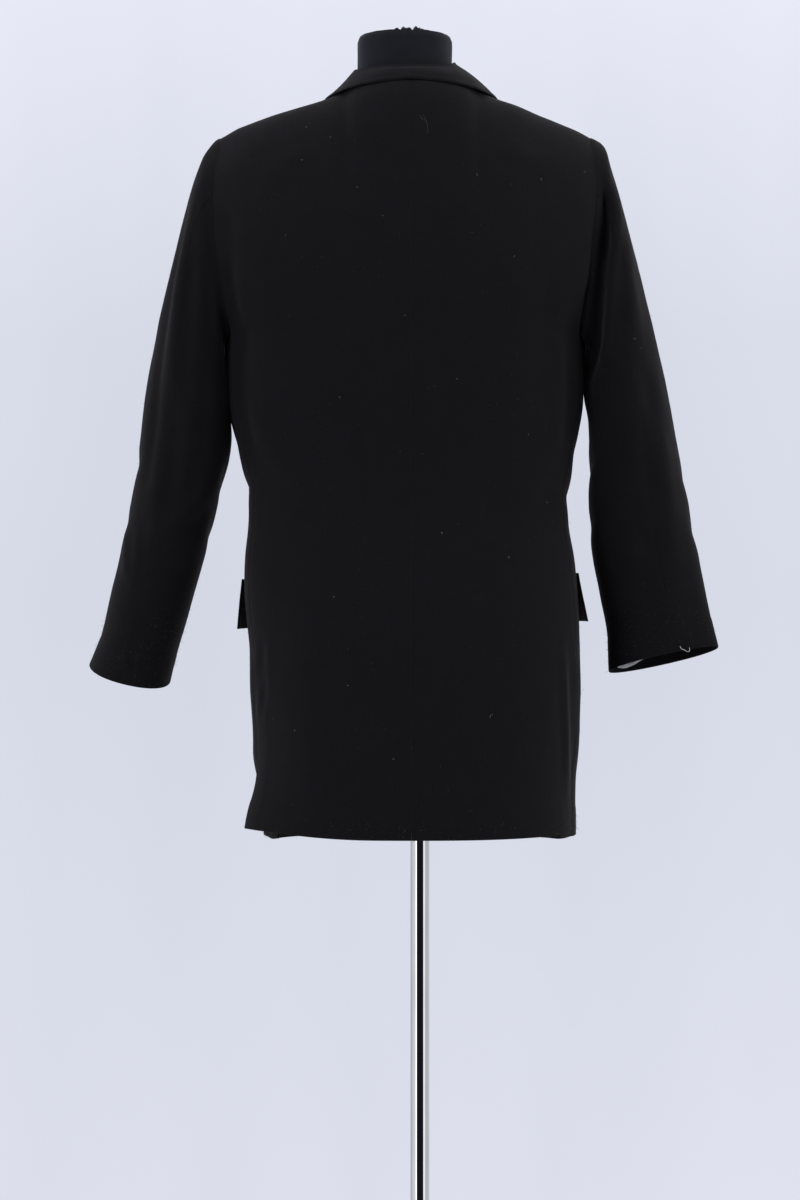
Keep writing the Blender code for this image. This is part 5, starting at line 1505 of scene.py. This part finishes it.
def button(number, height, finish):
    """A four-hole button with a raised rim, sewn on through its holes."""
    half = BUTTON_THICKNESS / 2
    profile = [(BUTTON_RADIUS * wide, half * up) for wide, up in BUTTON_PROFILE]
    count = 64
    points = [(0.0, 0.0, profile[0][1])]
    for radius, up in profile[1:-1]:
        points += [(x, y, up) for x, y in turned_ring(count, radius)]
    points.append((0.0, 0.0, profile[-1][1]))
    faces = [(0, 1 + j, 1 + (j + 1) % count) for j in range(count)]
    for i in range(len(profile) - 3):
        low, high = 1 + i * count, 1 + (i + 1) * count
        pairs = [(j, (j + 1) % count) for j in range(count)]
        faces += [(low + a, high + a, high + b, low + b) for a, b in pairs]
    last = 1 + (len(profile) - 3) * count
    faces += [(last + (j + 1) % count, last + j, len(points) - 1) for j in range(count)]
    made = meshed(f"button_{number}", points, faces, finish)
    points, faces = [], []
    for x, y in HOLES:
        low = len(points)
        for z in (-0.004, 0.004):
            points += [(x + a, y + b, z) for a, b in turned_ring(16, HOLE_RADIUS)]
        faces += [tuple(range(low + 15, low - 1, -1)), tuple(range(low + 16, low + 32))]
        faces += ring_faces(low, low + 16, 16)
    cutter = meshed("holes", points, faces, finish)
    cut = made.modifiers.new("holes", "BOOLEAN")
    cut.operation = "DIFFERENCE"
    cut.solver = "EXACT"
    cut.object = cutter
    bpy.context.view_layer.update()
    cut_mesh = bpy.data.meshes.new_from_object(made.evaluated_get(bpy.context.evaluated_depsgraph_get()))
    made.modifiers.clear()
    made.data = cut_mesh
    bpy.data.objects.remove(cutter, do_unlink=True)
    place = front_skin(0.0, height, 1, half + BUTTON_GAP)
    for vertex in made.data.vertices:
        x, y, z = vertex.co
        vertex.co = (place[0] + x, place[1] - z, place[2] + y)
    made.data.materials.clear()
    made.data.materials.append(finish)
    made.data.shade_smooth()
    made.data.set_sharp_from_angle(angle=math.radians(35))
    return made, place


def button_threads(threads, place):
    """Two threads that cross a button from hole to hole."""
    for one, two in ((0, 2), (1, 3)):
        (x0, z0), (x1, z1) = HOLES[one], HOLES[two]
        line = []
        for share in np.linspace(0, 1, 9):
            x, z = mix(x0, x1, share), mix(z0, z1, share)
            out = 0.0006 + 0.0009 * math.sin(math.pi * share) ** 0.5 + 0.0002 * one
            line.append((place[0] + x, place[1] - out, place[2] + z))
        threads.tube(line, RADII["button"])


class Threads:
    """Many short threads gathered into one mesh, each a thin tube along a line."""

    def __init__(self):
        self.points, self.faces = [], []

    def tube(self, line, radius, sides=6):
        line = [np.array(point, float) for point in line]
        start = len(self.points)
        for i, point in enumerate(line):
            ahead = line[min(i + 1, len(line) - 1)] - line[max(i - 1, 0)]
            ahead /= max(np.linalg.norm(ahead), 1e-9)
            helper = np.array([0.0, 0.0, 1.0]) if abs(ahead[2]) < 0.9 else np.array([1.0, 0.0, 0.0])
            one = np.cross(ahead, helper)
            one /= np.linalg.norm(one)
            two = np.cross(ahead, one)
            thick = radius * (0.55 if i in (0, len(line) - 1) else 1.0)
            for k in range(sides):
                turn = 2 * math.pi * k / sides
                self.points.append(tuple(point + thick * (one * math.cos(turn) + two * math.sin(turn))))
        last = start + (len(line) - 1) * sides
        for low in range(start, last, sides):
            self.faces += ring_faces(low, low + sides, sides)
        self.faces.append(tuple(start + k for k in reversed(range(sides))))
        self.faces.append(tuple(last + k for k in range(sides)))

    def made(self, name, finish):
        return meshed(name, self.points, self.faces, finish)


def surface_of(*pieces):
    """A search tree over the outer faces of some pieces."""
    points, faces = [], []
    for piece in pieces:
        start = len(points)
        points += [tuple(vertex.co) for vertex in piece.data.vertices]
        faces += [tuple(start + index for index in face.vertices) for face in piece.data.polygons]
    return BVHTree.FromPolygons(points, faces)


def laid(tree, point, out):
    """The nearest place on a surface, and out of it by a little."""
    place, normal, _, _ = tree.find_nearest(Vector(point))
    return np.array(place) + np.array(normal) * out


def seen_from_back(tree, x, z, out):
    """The place that is seen from straight behind at this width and height, if there is one."""
    place, normal, _, _ = tree.ray_cast(Vector((x, 0.6, z)), Vector((0.0, -1.0, 0.0)))
    return np.array(place) + np.array(normal) * out if place else None


def running_stitches(threads, tree, line, pitch=0.0027, cover=0.66):
    """A row of stitches along a line, each dipping into the cloth at its ends."""
    line = np.array(line)
    steps = np.concatenate([[0.0], np.cumsum(np.linalg.norm(np.diff(line, axis=0), axis=1))])
    shape = ((0.0, -0.0002), (0.18, 0.00005), (0.5, 0.00012), (0.82, 0.00005), (1.0, -0.0002))
    for i in range(int(steps[-1] / pitch)):
        stitch = []
        for share, out in shape:
            at = i * pitch + share * pitch * cover
            point = [np.interp(at, steps, line[:, k]) for k in range(3)]
            stitch.append(laid(tree, point, out))
        threads.tube(stitch, RADII["edge"])


def edge_sewing(pieces):
    """The fine stitching along the edges of lapels, collar, fronts and flaps, and the vents' bars."""
    threads = Threads()
    for side, word in SIDE_NAMES.items():
        lapel_tree = surface_of(pieces["lapel_" + word])
        line = [lapel_point(up, LAPEL_STITCH_SHARE, side) for up in np.linspace(0.03, 0.985, 70)]
        running_stitches(threads, lapel_tree, line)
        front_tree = surface_of(pieces["front_" + word])
        heights = np.linspace(FRONT_HEM + 0.012, BREAK_POINT - 0.02, 60)
        line = [front_skin(front_edge_across(z) + STITCH_INSET, z, side) for z in heights]
        running_stitches(threads, front_tree, line)
        flap_tree = surface_of(pieces["flap_" + word])
        line = []
        places = [(0.035, down) for down in np.linspace(0.05, 0.88, 8)]
        places += [(share, 0.89) for share in np.linspace(0.05, 0.95, 24)]
        places += [(0.965, down) for down in np.linspace(0.88, 0.05, 8)]
        for share, down in places:
            angle = mix(FLAP_START_ANGLE, FLAP_END_ANGLE, share)
            line.append(skin(angle, flap_level(down, side), side, flap_stand_off(down, share), True))
        running_stitches(threads, flap_tree, line)
        # the vent's top is fastened with a small bar
        back_tree = surface_of(pieces["back_" + word])
        for climb in np.linspace(0.0, 0.012, 13):
            level = VENT_LEVEL + (climb + 0.001) / (ARMPIT - VENT_TOP)
            one = skin(SIDE_SEAM_ANGLE - 2.2, level, side)
            two = skin(SIDE_SEAM_ANGLE - 0.8, level, side)
            threads.tube([laid(back_tree, mix(one, two, t), 0.0001 + 0.0002 * math.sin(math.pi * t))
                          for t in (0.0, 0.3, 0.7, 1.0)], RADII["bar"])
    collar_tree = surface_of(pieces["collar"])
    line = []
    for side in (-1, 1):
        places = np.linspace(0.0, 0.97, 60)
        if side < 0:
            places = places[::-1]
        for place in places:
            path = collar_path(place, side)
            fall = np.array(path[-1]) - np.array(path[-2])
            line.append(np.array(path[-1]) - fall / np.linalg.norm(fall) * STITCH_INSET)
    running_stitches(threads, collar_tree, line)
    return threads


def buttonholes(threads, front):
    """A worked buttonhole behind each button, its slit edged with close stitches."""
    tree = surface_of(front)
    beside = ((0.0, 0.0001), (0.25, 0.0004), (0.7, 0.0003), (1.0, -0.0001))
    round_end = ((0.0, 0.0001), (0.3, 0.0004), (1.0, -0.0001))
    starts = [BUTTONHOLE_START + i * BUTTONHOLE_PITCH
              for i in range(int((BUTTONHOLE_END - BUTTONHOLE_START) / BUTTONHOLE_PITCH))]
    stitches = [(start, turn, 0.0020, beside) for start in starts for turn in (-90.0, 90.0)]
    stitches += [(BUTTONHOLE_END, -90 + 22.5 * i, 0.0021, round_end) for i in range(9)]
    for height in BUTTON_HEIGHTS:
        for start, turn, reach, shape in stitches:
            line = []
            for share, out in shape:
                far = mix(0.0003, reach, share)
                across = start + far * math.cos(math.radians(turn))
                up = height + far * math.sin(math.radians(turn))
                line.append(laid(tree, front_skin(across, up, 1), out))
            threads.tube(line, RADII["buttonhole"])


def sleeve_slit(threads, sleeve):
    """The small bar of stitches that fastens the slit above the left cuff's hem."""
    tree = surface_of(sleeve)
    for i in range(8):
        z = SLIT_TOP_Z - i * 0.00034
        line = []
        for share in (0.0, 0.3, 0.7, 1.0):
            place = seen_from_back(tree, SLIT_TOP_X + mix(-0.0016, 0.0016, share), z, 0.0003)
            if place is not None:
                line.append(place)
        if len(line) == 4:
            threads.tube(line, RADII["slit"])


def lint(tree, rows, thin):
    """The pale specks or the fine hairs that lie on the back."""
    chance = np.random.default_rng(7)
    threads = Threads()
    for x, z, length, turn, bend in rows:
        line = []
        for share in np.linspace(-0.5, 0.5, 7):
            angle = math.radians(turn) + bend * share
            a = x + length * share * math.cos(angle)
            b = z + length * share * math.sin(angle)
            place = seen_from_back(tree, a, b, 0.0003 + 0.0003 * chance.random())
            if place is not None:
                line.append(place)
        if len(line) > 2:
            threads.tube(line, thin * (1 + 0.6 * chance.random()), 5)
    return threads


def at_hems(spot):
    """How likely a fibre of the hems' nap is at a spot: mostly at the hem and the cuffs."""
    return 1.0 if spot[2] < 0.66 or (abs(spot[0]) > 0.215 and spot[2] < 0.895) else 0.04


def on_tuft(spot):
    """How likely a fibre of the jersey is at a spot: mostly on its tuft."""
    return 1.0 if spot[2] > 1.547 and abs(spot[0] - TUFT_ACROSS) < 0.022 and spot[1] > 0.01 else 0.01


def nap(pieces, sizes, wanted=None):
    """Short fibres that stand out of the cloth, at random places of some pieces."""
    chance = np.random.default_rng(sizes.seed)
    threads = Threads()
    corners, areas = [], []
    for piece in pieces:
        mesh = piece.data
        points = np.zeros(len(mesh.vertices) * 3)
        mesh.vertices.foreach_get("co", points)
        points = points.reshape(-1, 3)
        half = len(mesh.polygons) // 2
        for face in list(mesh.polygons)[:half]:
            corners.append((points[list(face.vertices)], np.array(face.normal)))
            spot = corners[-1][0].mean(axis=0)
            areas.append(face.area * (wanted(spot) if wanted else 1.0))
    areas = np.array(areas) / np.sum(areas)
    for index in chance.choice(len(corners), sizes.count, p=areas):
        points, normal = corners[index]
        u, v = chance.random(2)
        start = mix(mix(points[0], points[1], u), mix(points[3 % len(points)], points[2], u), v)
        aside = np.cross(normal, chance.normal(size=3))
        aside /= max(np.linalg.norm(aside), 1e-9)
        length = mix(sizes.shortest, sizes.longest, chance.random() ** 2)
        lean, curl = mix(0.3, 1.3, chance.random()), mix(-1.2, 1.6, chance.random())
        line = []
        for share in (0.0, 0.4, 0.75, 1.0):
            angle = lean + curl * share
            line.append(start + length * share * (normal * math.cos(angle) + aside * math.sin(angle)))
        threads.tube(line, mix(sizes.thin, sizes.thick, chance.random()), 3)
    return threads


# ---- materials

# The weave: the width of a thread, and how far its thick places are drawn out, warp and weft
THREAD_PITCH = 0.00095
SLUB_STRETCHES = ((620.0, 26.0, 1.0), (30.0, 640.0, 1.0))
# Threads and fibres: their colour and roughness
FIBRES = {
    "sewing_thread": ((0.012, 0.012, 0.014), 0.7),
    "edge_thread": ((0.0090, 0.0085, 0.0110), 0.8),
    "lint": ((0.46, 0.44, 0.42), 0.9),
    "fine_hair": ((0.11, 0.105, 0.12), 0.8),
    "loose_thread": ((0.85, 0.85, 0.86), 0.7),
    "nap_fibre": ((0.0150, 0.0145, 0.0185), 0.95),
    "hem_fibre": ((0.0140, 0.0135, 0.0178), 0.95),
    "jersey_fibre": ((0.020, 0.021, 0.027), 0.95),
}


class Nodes:
    """A node tree with short ways to add to it."""

    def __init__(self, tree):
        self.tree = tree

    def new(self, kind, inputs=(), **settings):
        """A new node. Inputs are values or the outputs of other nodes, by their name or number."""
        node = self.tree.nodes.new("ShaderNode" + kind)
        for name, value in settings.items():
            setattr(node, name, value)
        self.fill(node, inputs)
        return node

    def fill(self, node, inputs):
        for key, value in dict(inputs).items():
            if isinstance(value, bpy.types.NodeSocket):
                self.tree.links.new(value, node.inputs[key])
            else:
                node.inputs[key].default_value = value

    def math(self, operation, *values, clamp=False):
        return self.new("Math", enumerate(values), operation=operation, use_clamp=clamp).outputs[0]

    def weighted(self, *parts):
        """The sum of some values, each times its weight."""
        scaled = [self.math("MULTIPLY", value, weight) for value, weight in parts]
        return reduce(lambda total, value: self.math("ADD", total, value), scaled)

    def noise(self, vector, scale, detail=2.0, roughness=0.5):
        inputs = {"Vector": vector, "Scale": scale, "Detail": detail, "Roughness": roughness}
        return self.new("TexNoise", inputs).outputs["Fac"]

    def streaks(self, vector, stretch, detail=2.0, roughness=0.5):
        """Noise that is stretched along the axes on which its scale is small."""
        mapped = self.new("Mapping", {"Vector": vector, "Scale": stretch}).outputs["Vector"]
        return self.noise(mapped, 1.0, detail, roughness)

    def ramp(self, value, *stops):
        """A run of colours or greys, each at its place."""
        node = self.new("ValToRGB", {"Fac": value})
        elements = node.color_ramp.elements
        elements[0].position, elements[1].position = stops[0][0], stops[-1][0]
        for place, _ in stops[1:-1]:
            elements.new(place)
        for element, (_, colour) in zip(elements, stops):
            element.color = (*(colour if isinstance(colour, tuple) else (colour,) * 3), 1.0)
        return node.outputs["Color"]

    def parts(self, vector):
        return self.new("SeparateXYZ", {0: vector}).outputs

    def place(self, kind="Object"):
        return self.new("TexCoord").outputs[kind]


class Finish(Nodes):
    """A material of one shader."""

    def __init__(self, name):
        self.material = bpy.data.materials.new(name)
        self.material.use_nodes = True
        super().__init__(self.material.node_tree)

    def bump(self, height, strength, distance):
        inputs = {"Height": height, "Strength": strength, "Distance": distance}
        return self.new("Bump", inputs).outputs["Normal"]

    def uv(self):
        return self.new("UVMap", uv_map="cloth").outputs["UV"]

    def shaded(self, **inputs):
        """The material, with its shader's inputs set. An input's spaces are underscores here."""
        shader = self.tree.nodes["Principled BSDF"]
        self.fill(shader, {name.replace("_", " "): value for name, value in inputs.items()})
        return self.material


def cloth_material():
    """A plain weave of uneven, slubby threads with a slight nap, in the cloth's own metres."""
    look = Finish("blazer_cloth")
    uv, place = look.uv(), look.place()
    across, along, _ = look.parts(uv)
    # threads wander a little
    wander = look.noise(uv, 260.0, 1.0)
    bend = look.math("MULTIPLY", look.math("SUBTRACT", wander, 0.5), 2.4)
    turns = math.pi / THREAD_PITCH
    u, v = (look.math("ADD", look.math("MULTIPLY", way, turns), bend) for way in (across, along))
    # over and under: warp shows where the product is positive, weft where it is negative
    product = look.math("MULTIPLY", look.math("SINE", u), look.math("SINE", v))
    weave = look.math("ABSOLUTE", product)
    # slubs: long thick places of single threads, both ways
    slubs = look.math("MAXIMUM", *(look.streaks(uv, stretch) for stretch in SLUB_STRETCHES))
    thick = look.math("MULTIPLY", look.math("SUBTRACT", slubs, 0.56), 4.5, clamp=True)
    fluff = look.noise(place, 1500.0, 3.0, 0.7)
    broad = look.math("SUBTRACT", look.noise(place, 38.0, 3.0, 0.6), 0.5)
    tone = look.weighted((weave, 0.42), (fluff, 0.30), (thick, 0.32), (broad, 0.35))
    height = look.weighted((weave, 1.0), (thick, 0.9), (fluff, 0.9))
    return look.shaded(
        Base_Color=look.ramp(tone, (0.0, (0.0018, 0.0016, 0.0028)), (1.0, (0.0082, 0.0077, 0.0126))),
        Normal=look.bump(height, 0.5, 0.00028),
        Roughness=look.ramp(fluff, (0.0, 0.82), (1.0, 0.97)),
        Specular_IOR_Level=0.25,
        Sheen_Weight=0.10,
        Sheen_Roughness=0.45,
        Sheen_Tint=(0.55, 0.54, 0.60, 1.0),
    )


def jersey_material():
    """A fine knit with soft ribs, drawn over the form."""
    look = Finish("form_jersey")
    place = look.place()
    x, y, z = look.parts(place)
    ribs = look.math("SINE", look.math("MULTIPLY", look.math("ARCTAN2", y, x), 420.0))
    courses = look.math("SINE", look.math("MULTIPLY", z, 4200.0))
    knit = look.math("MULTIPLY", ribs, courses)
    fluff = look.noise(place, 900.0, 3.0, 0.65)
    tone = look.weighted((fluff, 0.6), (look.noise(place, 60.0, 2.0, 0.5), 0.4))
    return look.shaded(
        Base_Color=look.ramp(tone, (0.2, (0.0070, 0.0078, 0.0120)), (0.8, (0.0165, 0.0178, 0.0270))),
        Normal=look.bump(look.weighted((knit, 0.5), (fluff, 1.0)), 0.45, 0.00025),
        Roughness=0.88,
        Specular_IOR_Level=0.25,
        Sheen_Weight=0.35,
        Sheen_Roughness=0.40,
        Sheen_Tint=(0.60, 0.62, 0.70, 1.0),
    )


def lining_material():
    """A pale satin lining with a fine twill line."""
    look = Finish("lining_cloth")
    uv = look.uv()
    across, along, _ = look.parts(uv)
    twill = look.math("SINE", look.math("MULTIPLY", look.math("ADD", across, along), 9000.0))
    tone = look.weighted((twill, 0.15), (look.noise(uv, 300.0, 2.0), 1.0))
    return look.shaded(
        Base_Color=look.ramp(tone, (0.2, (0.50, 0.51, 0.54)), (0.8, (0.68, 0.69, 0.72))),
        Normal=look.bump(tone, 0.25, 0.0001),
        Roughness=0.42,
        Sheen_Weight=0.25,
        Sheen_Roughness=0.35,
    )


def horn_material():
    """Dark polished horn with faint streaks and scuffs."""
    look = Finish("button_horn")
    place = look.place()
    streaks = look.streaks(place, (900.0, 300.0, 260.0), 5.0, 0.6)
    scuffs = look.noise(place, 2500.0, 3.0, 0.6)
    colours = (0.35, (0.008, 0.007, 0.007)), (0.6, (0.022, 0.018, 0.017)), (0.75, (0.060, 0.048, 0.042))
    return look.shaded(
        Base_Color=look.ramp(streaks, *colours),
        Normal=look.bump(scuffs, 0.15, 0.0001),
        Roughness=look.ramp(scuffs, (0.3, 0.25), (0.75, 0.48)),
    )


def chrome_material():
    """Bright chrome with faint rubbing marks."""
    look = Finish("chrome")
    place = look.place()
    smears = look.streaks(place, (90.0, 90.0, 14.0), 4.0, 0.6)
    fine = look.streaks(place, (1400.0, 1400.0, 60.0), 3.0, 0.6)
    rubbed = look.weighted((smears, 0.6), (fine, 0.4))
    return look.shaded(
        Base_Color=look.ramp(smears, (0.3, (0.74, 0.75, 0.77)), (0.7, (0.84, 0.85, 0.87))),
        Normal=look.bump(fine, 0.004, 0.0001),
        Roughness=look.ramp(rubbed, (0.3, 0.02), (0.8, 0.045)),
        Metallic=1.0,
    )


def thread_material(name):
    """A twisted thread or a fibre, a little darker in its twist."""
    colour, roughness = FIBRES[name]
    look = Finish(name)
    twist = look.noise(look.place(), 3500.0, 2.0)
    shade = look.ramp(twist, (0.3, tuple(0.75 * part for part in colour)), (0.7, colour))
    return look.shaded(Base_Color=shade, Roughness=roughness, Sheen_Weight=0.3)


# ---- stage, light and camera

CAMERA_PLACE = (0.023, 3.0, 0.905)
CAMERA_LENS = 78.27
CAMERA_SENSOR = 36.0
FLOOR_RADIUS = 1.6
STUDIO_STRENGTH = 0.75
# Round the studio from -Y over +X, +Y and -X back to -Y
STUDIO_WALLS = [
    (0.00, (1.00, 1.00, 1.04)), (0.12, (0.95, 0.95, 0.99)), (0.17, (0.72, 0.72, 0.75)),
    (0.300, (0.74, 0.74, 0.77)), (0.335, (0.95, 0.95, 0.98)), (0.355, (1.60, 1.60, 1.65)),
    (0.378, (1.60, 1.60, 1.65)), (0.396, (0.012, 0.012, 0.018)), (0.610, (0.012, 0.012, 0.018)),
    (0.618, (3.00, 3.00, 3.10)), (0.638, (3.00, 3.00, 3.10)), (0.650, (1.00, 1.00, 1.04)),
    (0.780, (0.92, 0.92, 0.96)), (0.810, (0.70, 0.70, 0.73)), (1.00, (0.72, 0.72, 0.75)),
]
# The backdrop from its foot up, paler at its top
BACKDROP = [
    (0.08, (0.735, 0.755, 0.852)), (0.30, (0.700, 0.722, 0.822)), (0.50, (0.672, 0.698, 0.796)),
    (0.66, (0.690, 0.716, 0.812)), (0.86, (0.800, 0.826, 0.925)),
]
Lamp = namedtuple("Lamp", "name place target size energy")
LAMPS = table(Lamp,
    ("top_light", (0.3, 1.6, 3.2), (0.0, 0.0, 1.2), (2.4, 1.6), 11.0),
    ("left_light", (2.6, 1.0, 1.8), (0.0, 0.0, 1.1), (1.2, 2.2), 1.0),
    ("right_light", (-2.6, 1.0, 1.8), (0.0, 0.0, 1.1), (1.2, 2.2), 13.5),
    ("front_light", (0.0, -2.6, 2.2), (0.0, 0.0, 1.1), (2.4, 1.8), 10.0),
)


def round_pole(finish):
    """The pole, turned round and smooth between the ends of its solid."""
    node = bpy.data.objects["pole"]
    corners = [node.matrix_world @ Vector(corner) for corner in node.bound_box]
    low, high = min(corner.z for corner in corners), max(corner.z for corner in corners)
    radius = max(corner.x for corner in corners)
    bevel, support, count = 0.0006, 0.0016, 128
    rings = [
        (radius - bevel, low), (radius, low + bevel), (radius, low + support),
        (radius, high - support), (radius, high - bevel), (radius - bevel, high),
    ]
    points = [(x, y, z) for wide, z in rings for x, y in turned_ring(count, wide)]
    faces = [tuple(reversed(range(count))), tuple(range(5 * count, 6 * count))]
    for start in range(0, 5 * count, count):
        faces += ring_faces(start, start + count, count)
    return meshed("pole_tube", points, faces, finish)


def floor():
    """A pale floor whose edge fades out, so that it runs into the backdrop."""
    count = 96
    points = [(0.0, 0.0, 0.0)] + [(x, y, 0.0) for x, y in turned_ring(count, FLOOR_RADIUS)]
    faces = [(0, 1 + j, 1 + (j + 1) % count) for j in range(count)]
    look = Finish("floor")
    far = look.new("VectorMath", {0: look.place()}, operation="LENGTH").outputs["Value"]
    fade = look.ramp(look.math("DIVIDE", far, FLOOR_RADIUS), (0.22, 1.0), (0.56, 0.0))
    made = meshed("floor", points, faces,
                  look.shaded(Base_Color=(0.80, 0.81, 0.86, 1.0), Roughness=0.8, Alpha=fade))
    made.location = (0.0, 0.0, -0.0005)


def surroundings():
    """The pale backdrop seen by the camera, and the studio that lights the cloth and the chrome."""
    world = bpy.data.worlds.new("studio")
    bpy.context.scene.world = world
    world.use_nodes = True
    world.node_tree.nodes.clear()
    nodes = Nodes(world.node_tree)
    place = nodes.place("Generated")
    x, y, z = nodes.parts(place)
    # the backdrop's faint upright folds are painted in as bands of light and shade
    backdrop = nodes.ramp(nodes.math("MULTIPLY_ADD", z, 1.6, 0.5), *BACKDROP)
    folds = nodes.streaks(place, (9.0, 9.0, 0.8), 3.0, 0.55)
    shade = nodes.ramp(folds, (0.30, (0.955, 0.955, 0.960)), (0.70, (1.030, 1.028, 1.025)))
    inputs = {"Factor": 1.0, "A": backdrop, "B": shade}
    mixed = nodes.new("Mix", inputs, data_type="RGBA", blend_type="MULTIPLY").outputs["Result"]
    seen = nodes.new("Background", {"Color": mixed}).outputs[0]
    # the studio: white walls, a dark room behind the camera and a bright strip to each side of it
    around = nodes.math("ADD", nodes.math("ARCTAN2", x, y), math.pi)
    walls = nodes.ramp(nodes.math("DIVIDE", around, 2 * math.pi), *STUDIO_WALLS)
    lit = nodes.new("Background", {"Color": walls, "Strength": STUDIO_STRENGTH}).outputs[0]
    to_camera = nodes.new("LightPath").outputs["Is Camera Ray"]
    either = nodes.new("MixShader", {0: to_camera, 1: lit, 2: seen}).outputs[0]
    nodes.new("OutputWorld", {"Surface": either})


def lamp(name, place, target, size, energy):
    """An area lamp that faces its target."""
    data = bpy.data.lights.new(name, "AREA")
    data.shape = "RECTANGLE"
    data.size, data.size_y = size
    data.energy = energy
    made = placed(name, data)
    made.location = place
    made.rotation_euler = (Vector(target) - Vector(place)).to_track_quat("-Z", "Y").to_euler()


def camera():
    """The camera, on the photo's side of the blazer."""
    data = bpy.data.cameras.new("camera")
    data.lens = CAMERA_LENS
    data.sensor_width = CAMERA_SENSOR
    made = placed("camera", data)
    made.location = CAMERA_PLACE
    made.rotation_euler = (math.radians(90), 0.0, math.radians(180))
    bpy.context.scene.camera = made


# ---- the whole

# Each piece of cloth as it was cut: its width and length, and its area, in metres
Cut = namedtuple("Cut", "width length area held")


def seat(made, nodes):
    """Puts a piece on the body, in the place of its nodes, and hides their solids."""
    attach(made, "root")
    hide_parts(*nodes)
    return made


def dress(cloth):
    """The blazer's cloth over the form's cover, by the names of its pieces."""
    pieces = {}
    for side, word in SIDE_NAMES.items():
        back = seat(back_cloth(side, cloth), ["back_" + word])
        front = seat(front_cloth(side, cloth), ["front_" + word])
        upper = sleeve_cloth("sleeve_upper_cloth_" + word, side, FORE_SEAM - 360, HIND_SEAM, 50, cloth)
        under = sleeve_cloth("sleeve_under_cloth_" + word, side, HIND_SEAM, FORE_SEAM, 36, cloth)
        seat(upper, ["sleeve_upper_" + word])
        seat(under, ["sleeve_under_" + word])
        lapel, flap = lapel_cloth(side, cloth), flap_cloth(side, cloth)
        seat(lapel, ["lapel_" + word])
        seat(flap, ["pocket_flap_" + word])
        pieces |= {"back_" + word: back, "front_" + word: front, "upper_" + word: upper}
        pieces |= {"under_" + word: under, "lapel_" + word: lapel, "flap_" + word: flap}
    collar = collar_cloth(cloth)
    pieces["collar"] = seat(collar, ["collar"])
    lining = lining_cloth_end(lining_material())
    seat(lining, ["sleeve_lining_right"])
    return pieces


def sew(pieces):
    """The buttons and all stitches."""
    horn = horn_material()
    sewing = Threads()
    for number, height in enumerate(BUTTON_HEIGHTS, 1):
        made, place = button(number, height, horn)
        seat(made, [f"front_button_{number}"])
        button_threads(sewing, place)
    buttonholes(sewing, pieces["front_left"])
    sleeve_slit(sewing, pieces["upper_left"])
    seat(sewing.made("button_threads", thread_material("sewing_thread")), [])
    edges = edge_sewing(pieces)
    seat(edges.made("edge_stitching", thread_material("edge_thread")), [])


def scatter(pieces, cover):
    """Lint, hairs, the loose thread and the nap."""
    all_round = surface_of(*pieces.values())
    loose = Threads()
    loose.tube(spline(LOOSE_THREAD, 30), RADII["loose"], 8)
    everywhere = list(pieces.values())
    for threads, name, fibre, slot in (
        (lint(all_round, LINT, RADII["lint"]), "lint", "lint", "blazer_cloth"),
        (lint(all_round, HAIRS, RADII["hair"]), "hairs", "fine_hair", "blazer_cloth"),
        (loose, "loose_thread", "loose_thread", "lining_cloth"),
        (nap(everywhere, NAP), "nap", "nap_fibre", "blazer_cloth"),
        (nap(everywhere, HEM_NAP, at_hems), "hem_fuzz", "hem_fibre", "blazer_cloth"),
        (nap([cover], JERSEY_NAP, on_tuft), "jersey_fuzz", "jersey_fibre", "form_jersey"),
    ):
        seat(threads.made(name, thread_material(fibre)), [])


def main():
    cloth = cloth_material()
    cover = seat(form_cover(jersey_material()), ["dress_form"])
    pieces = dress(cloth)
    sew(pieces)
    scatter(pieces, cover)
    chrome = chrome_material()
    seat(round_pole(chrome), ["pole"])
    for name in ("pole_socket", "pole", "base_plate"):
        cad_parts[name].data.materials.clear()
        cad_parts[name].data.materials.append(chrome)
    floor()
    surroundings()
    for row in LAMPS:
        lamp(*row)
    camera()
    bpy.context.scene.view_settings.view_transform = "Standard"


main()
bpy.context.view_layer.update()
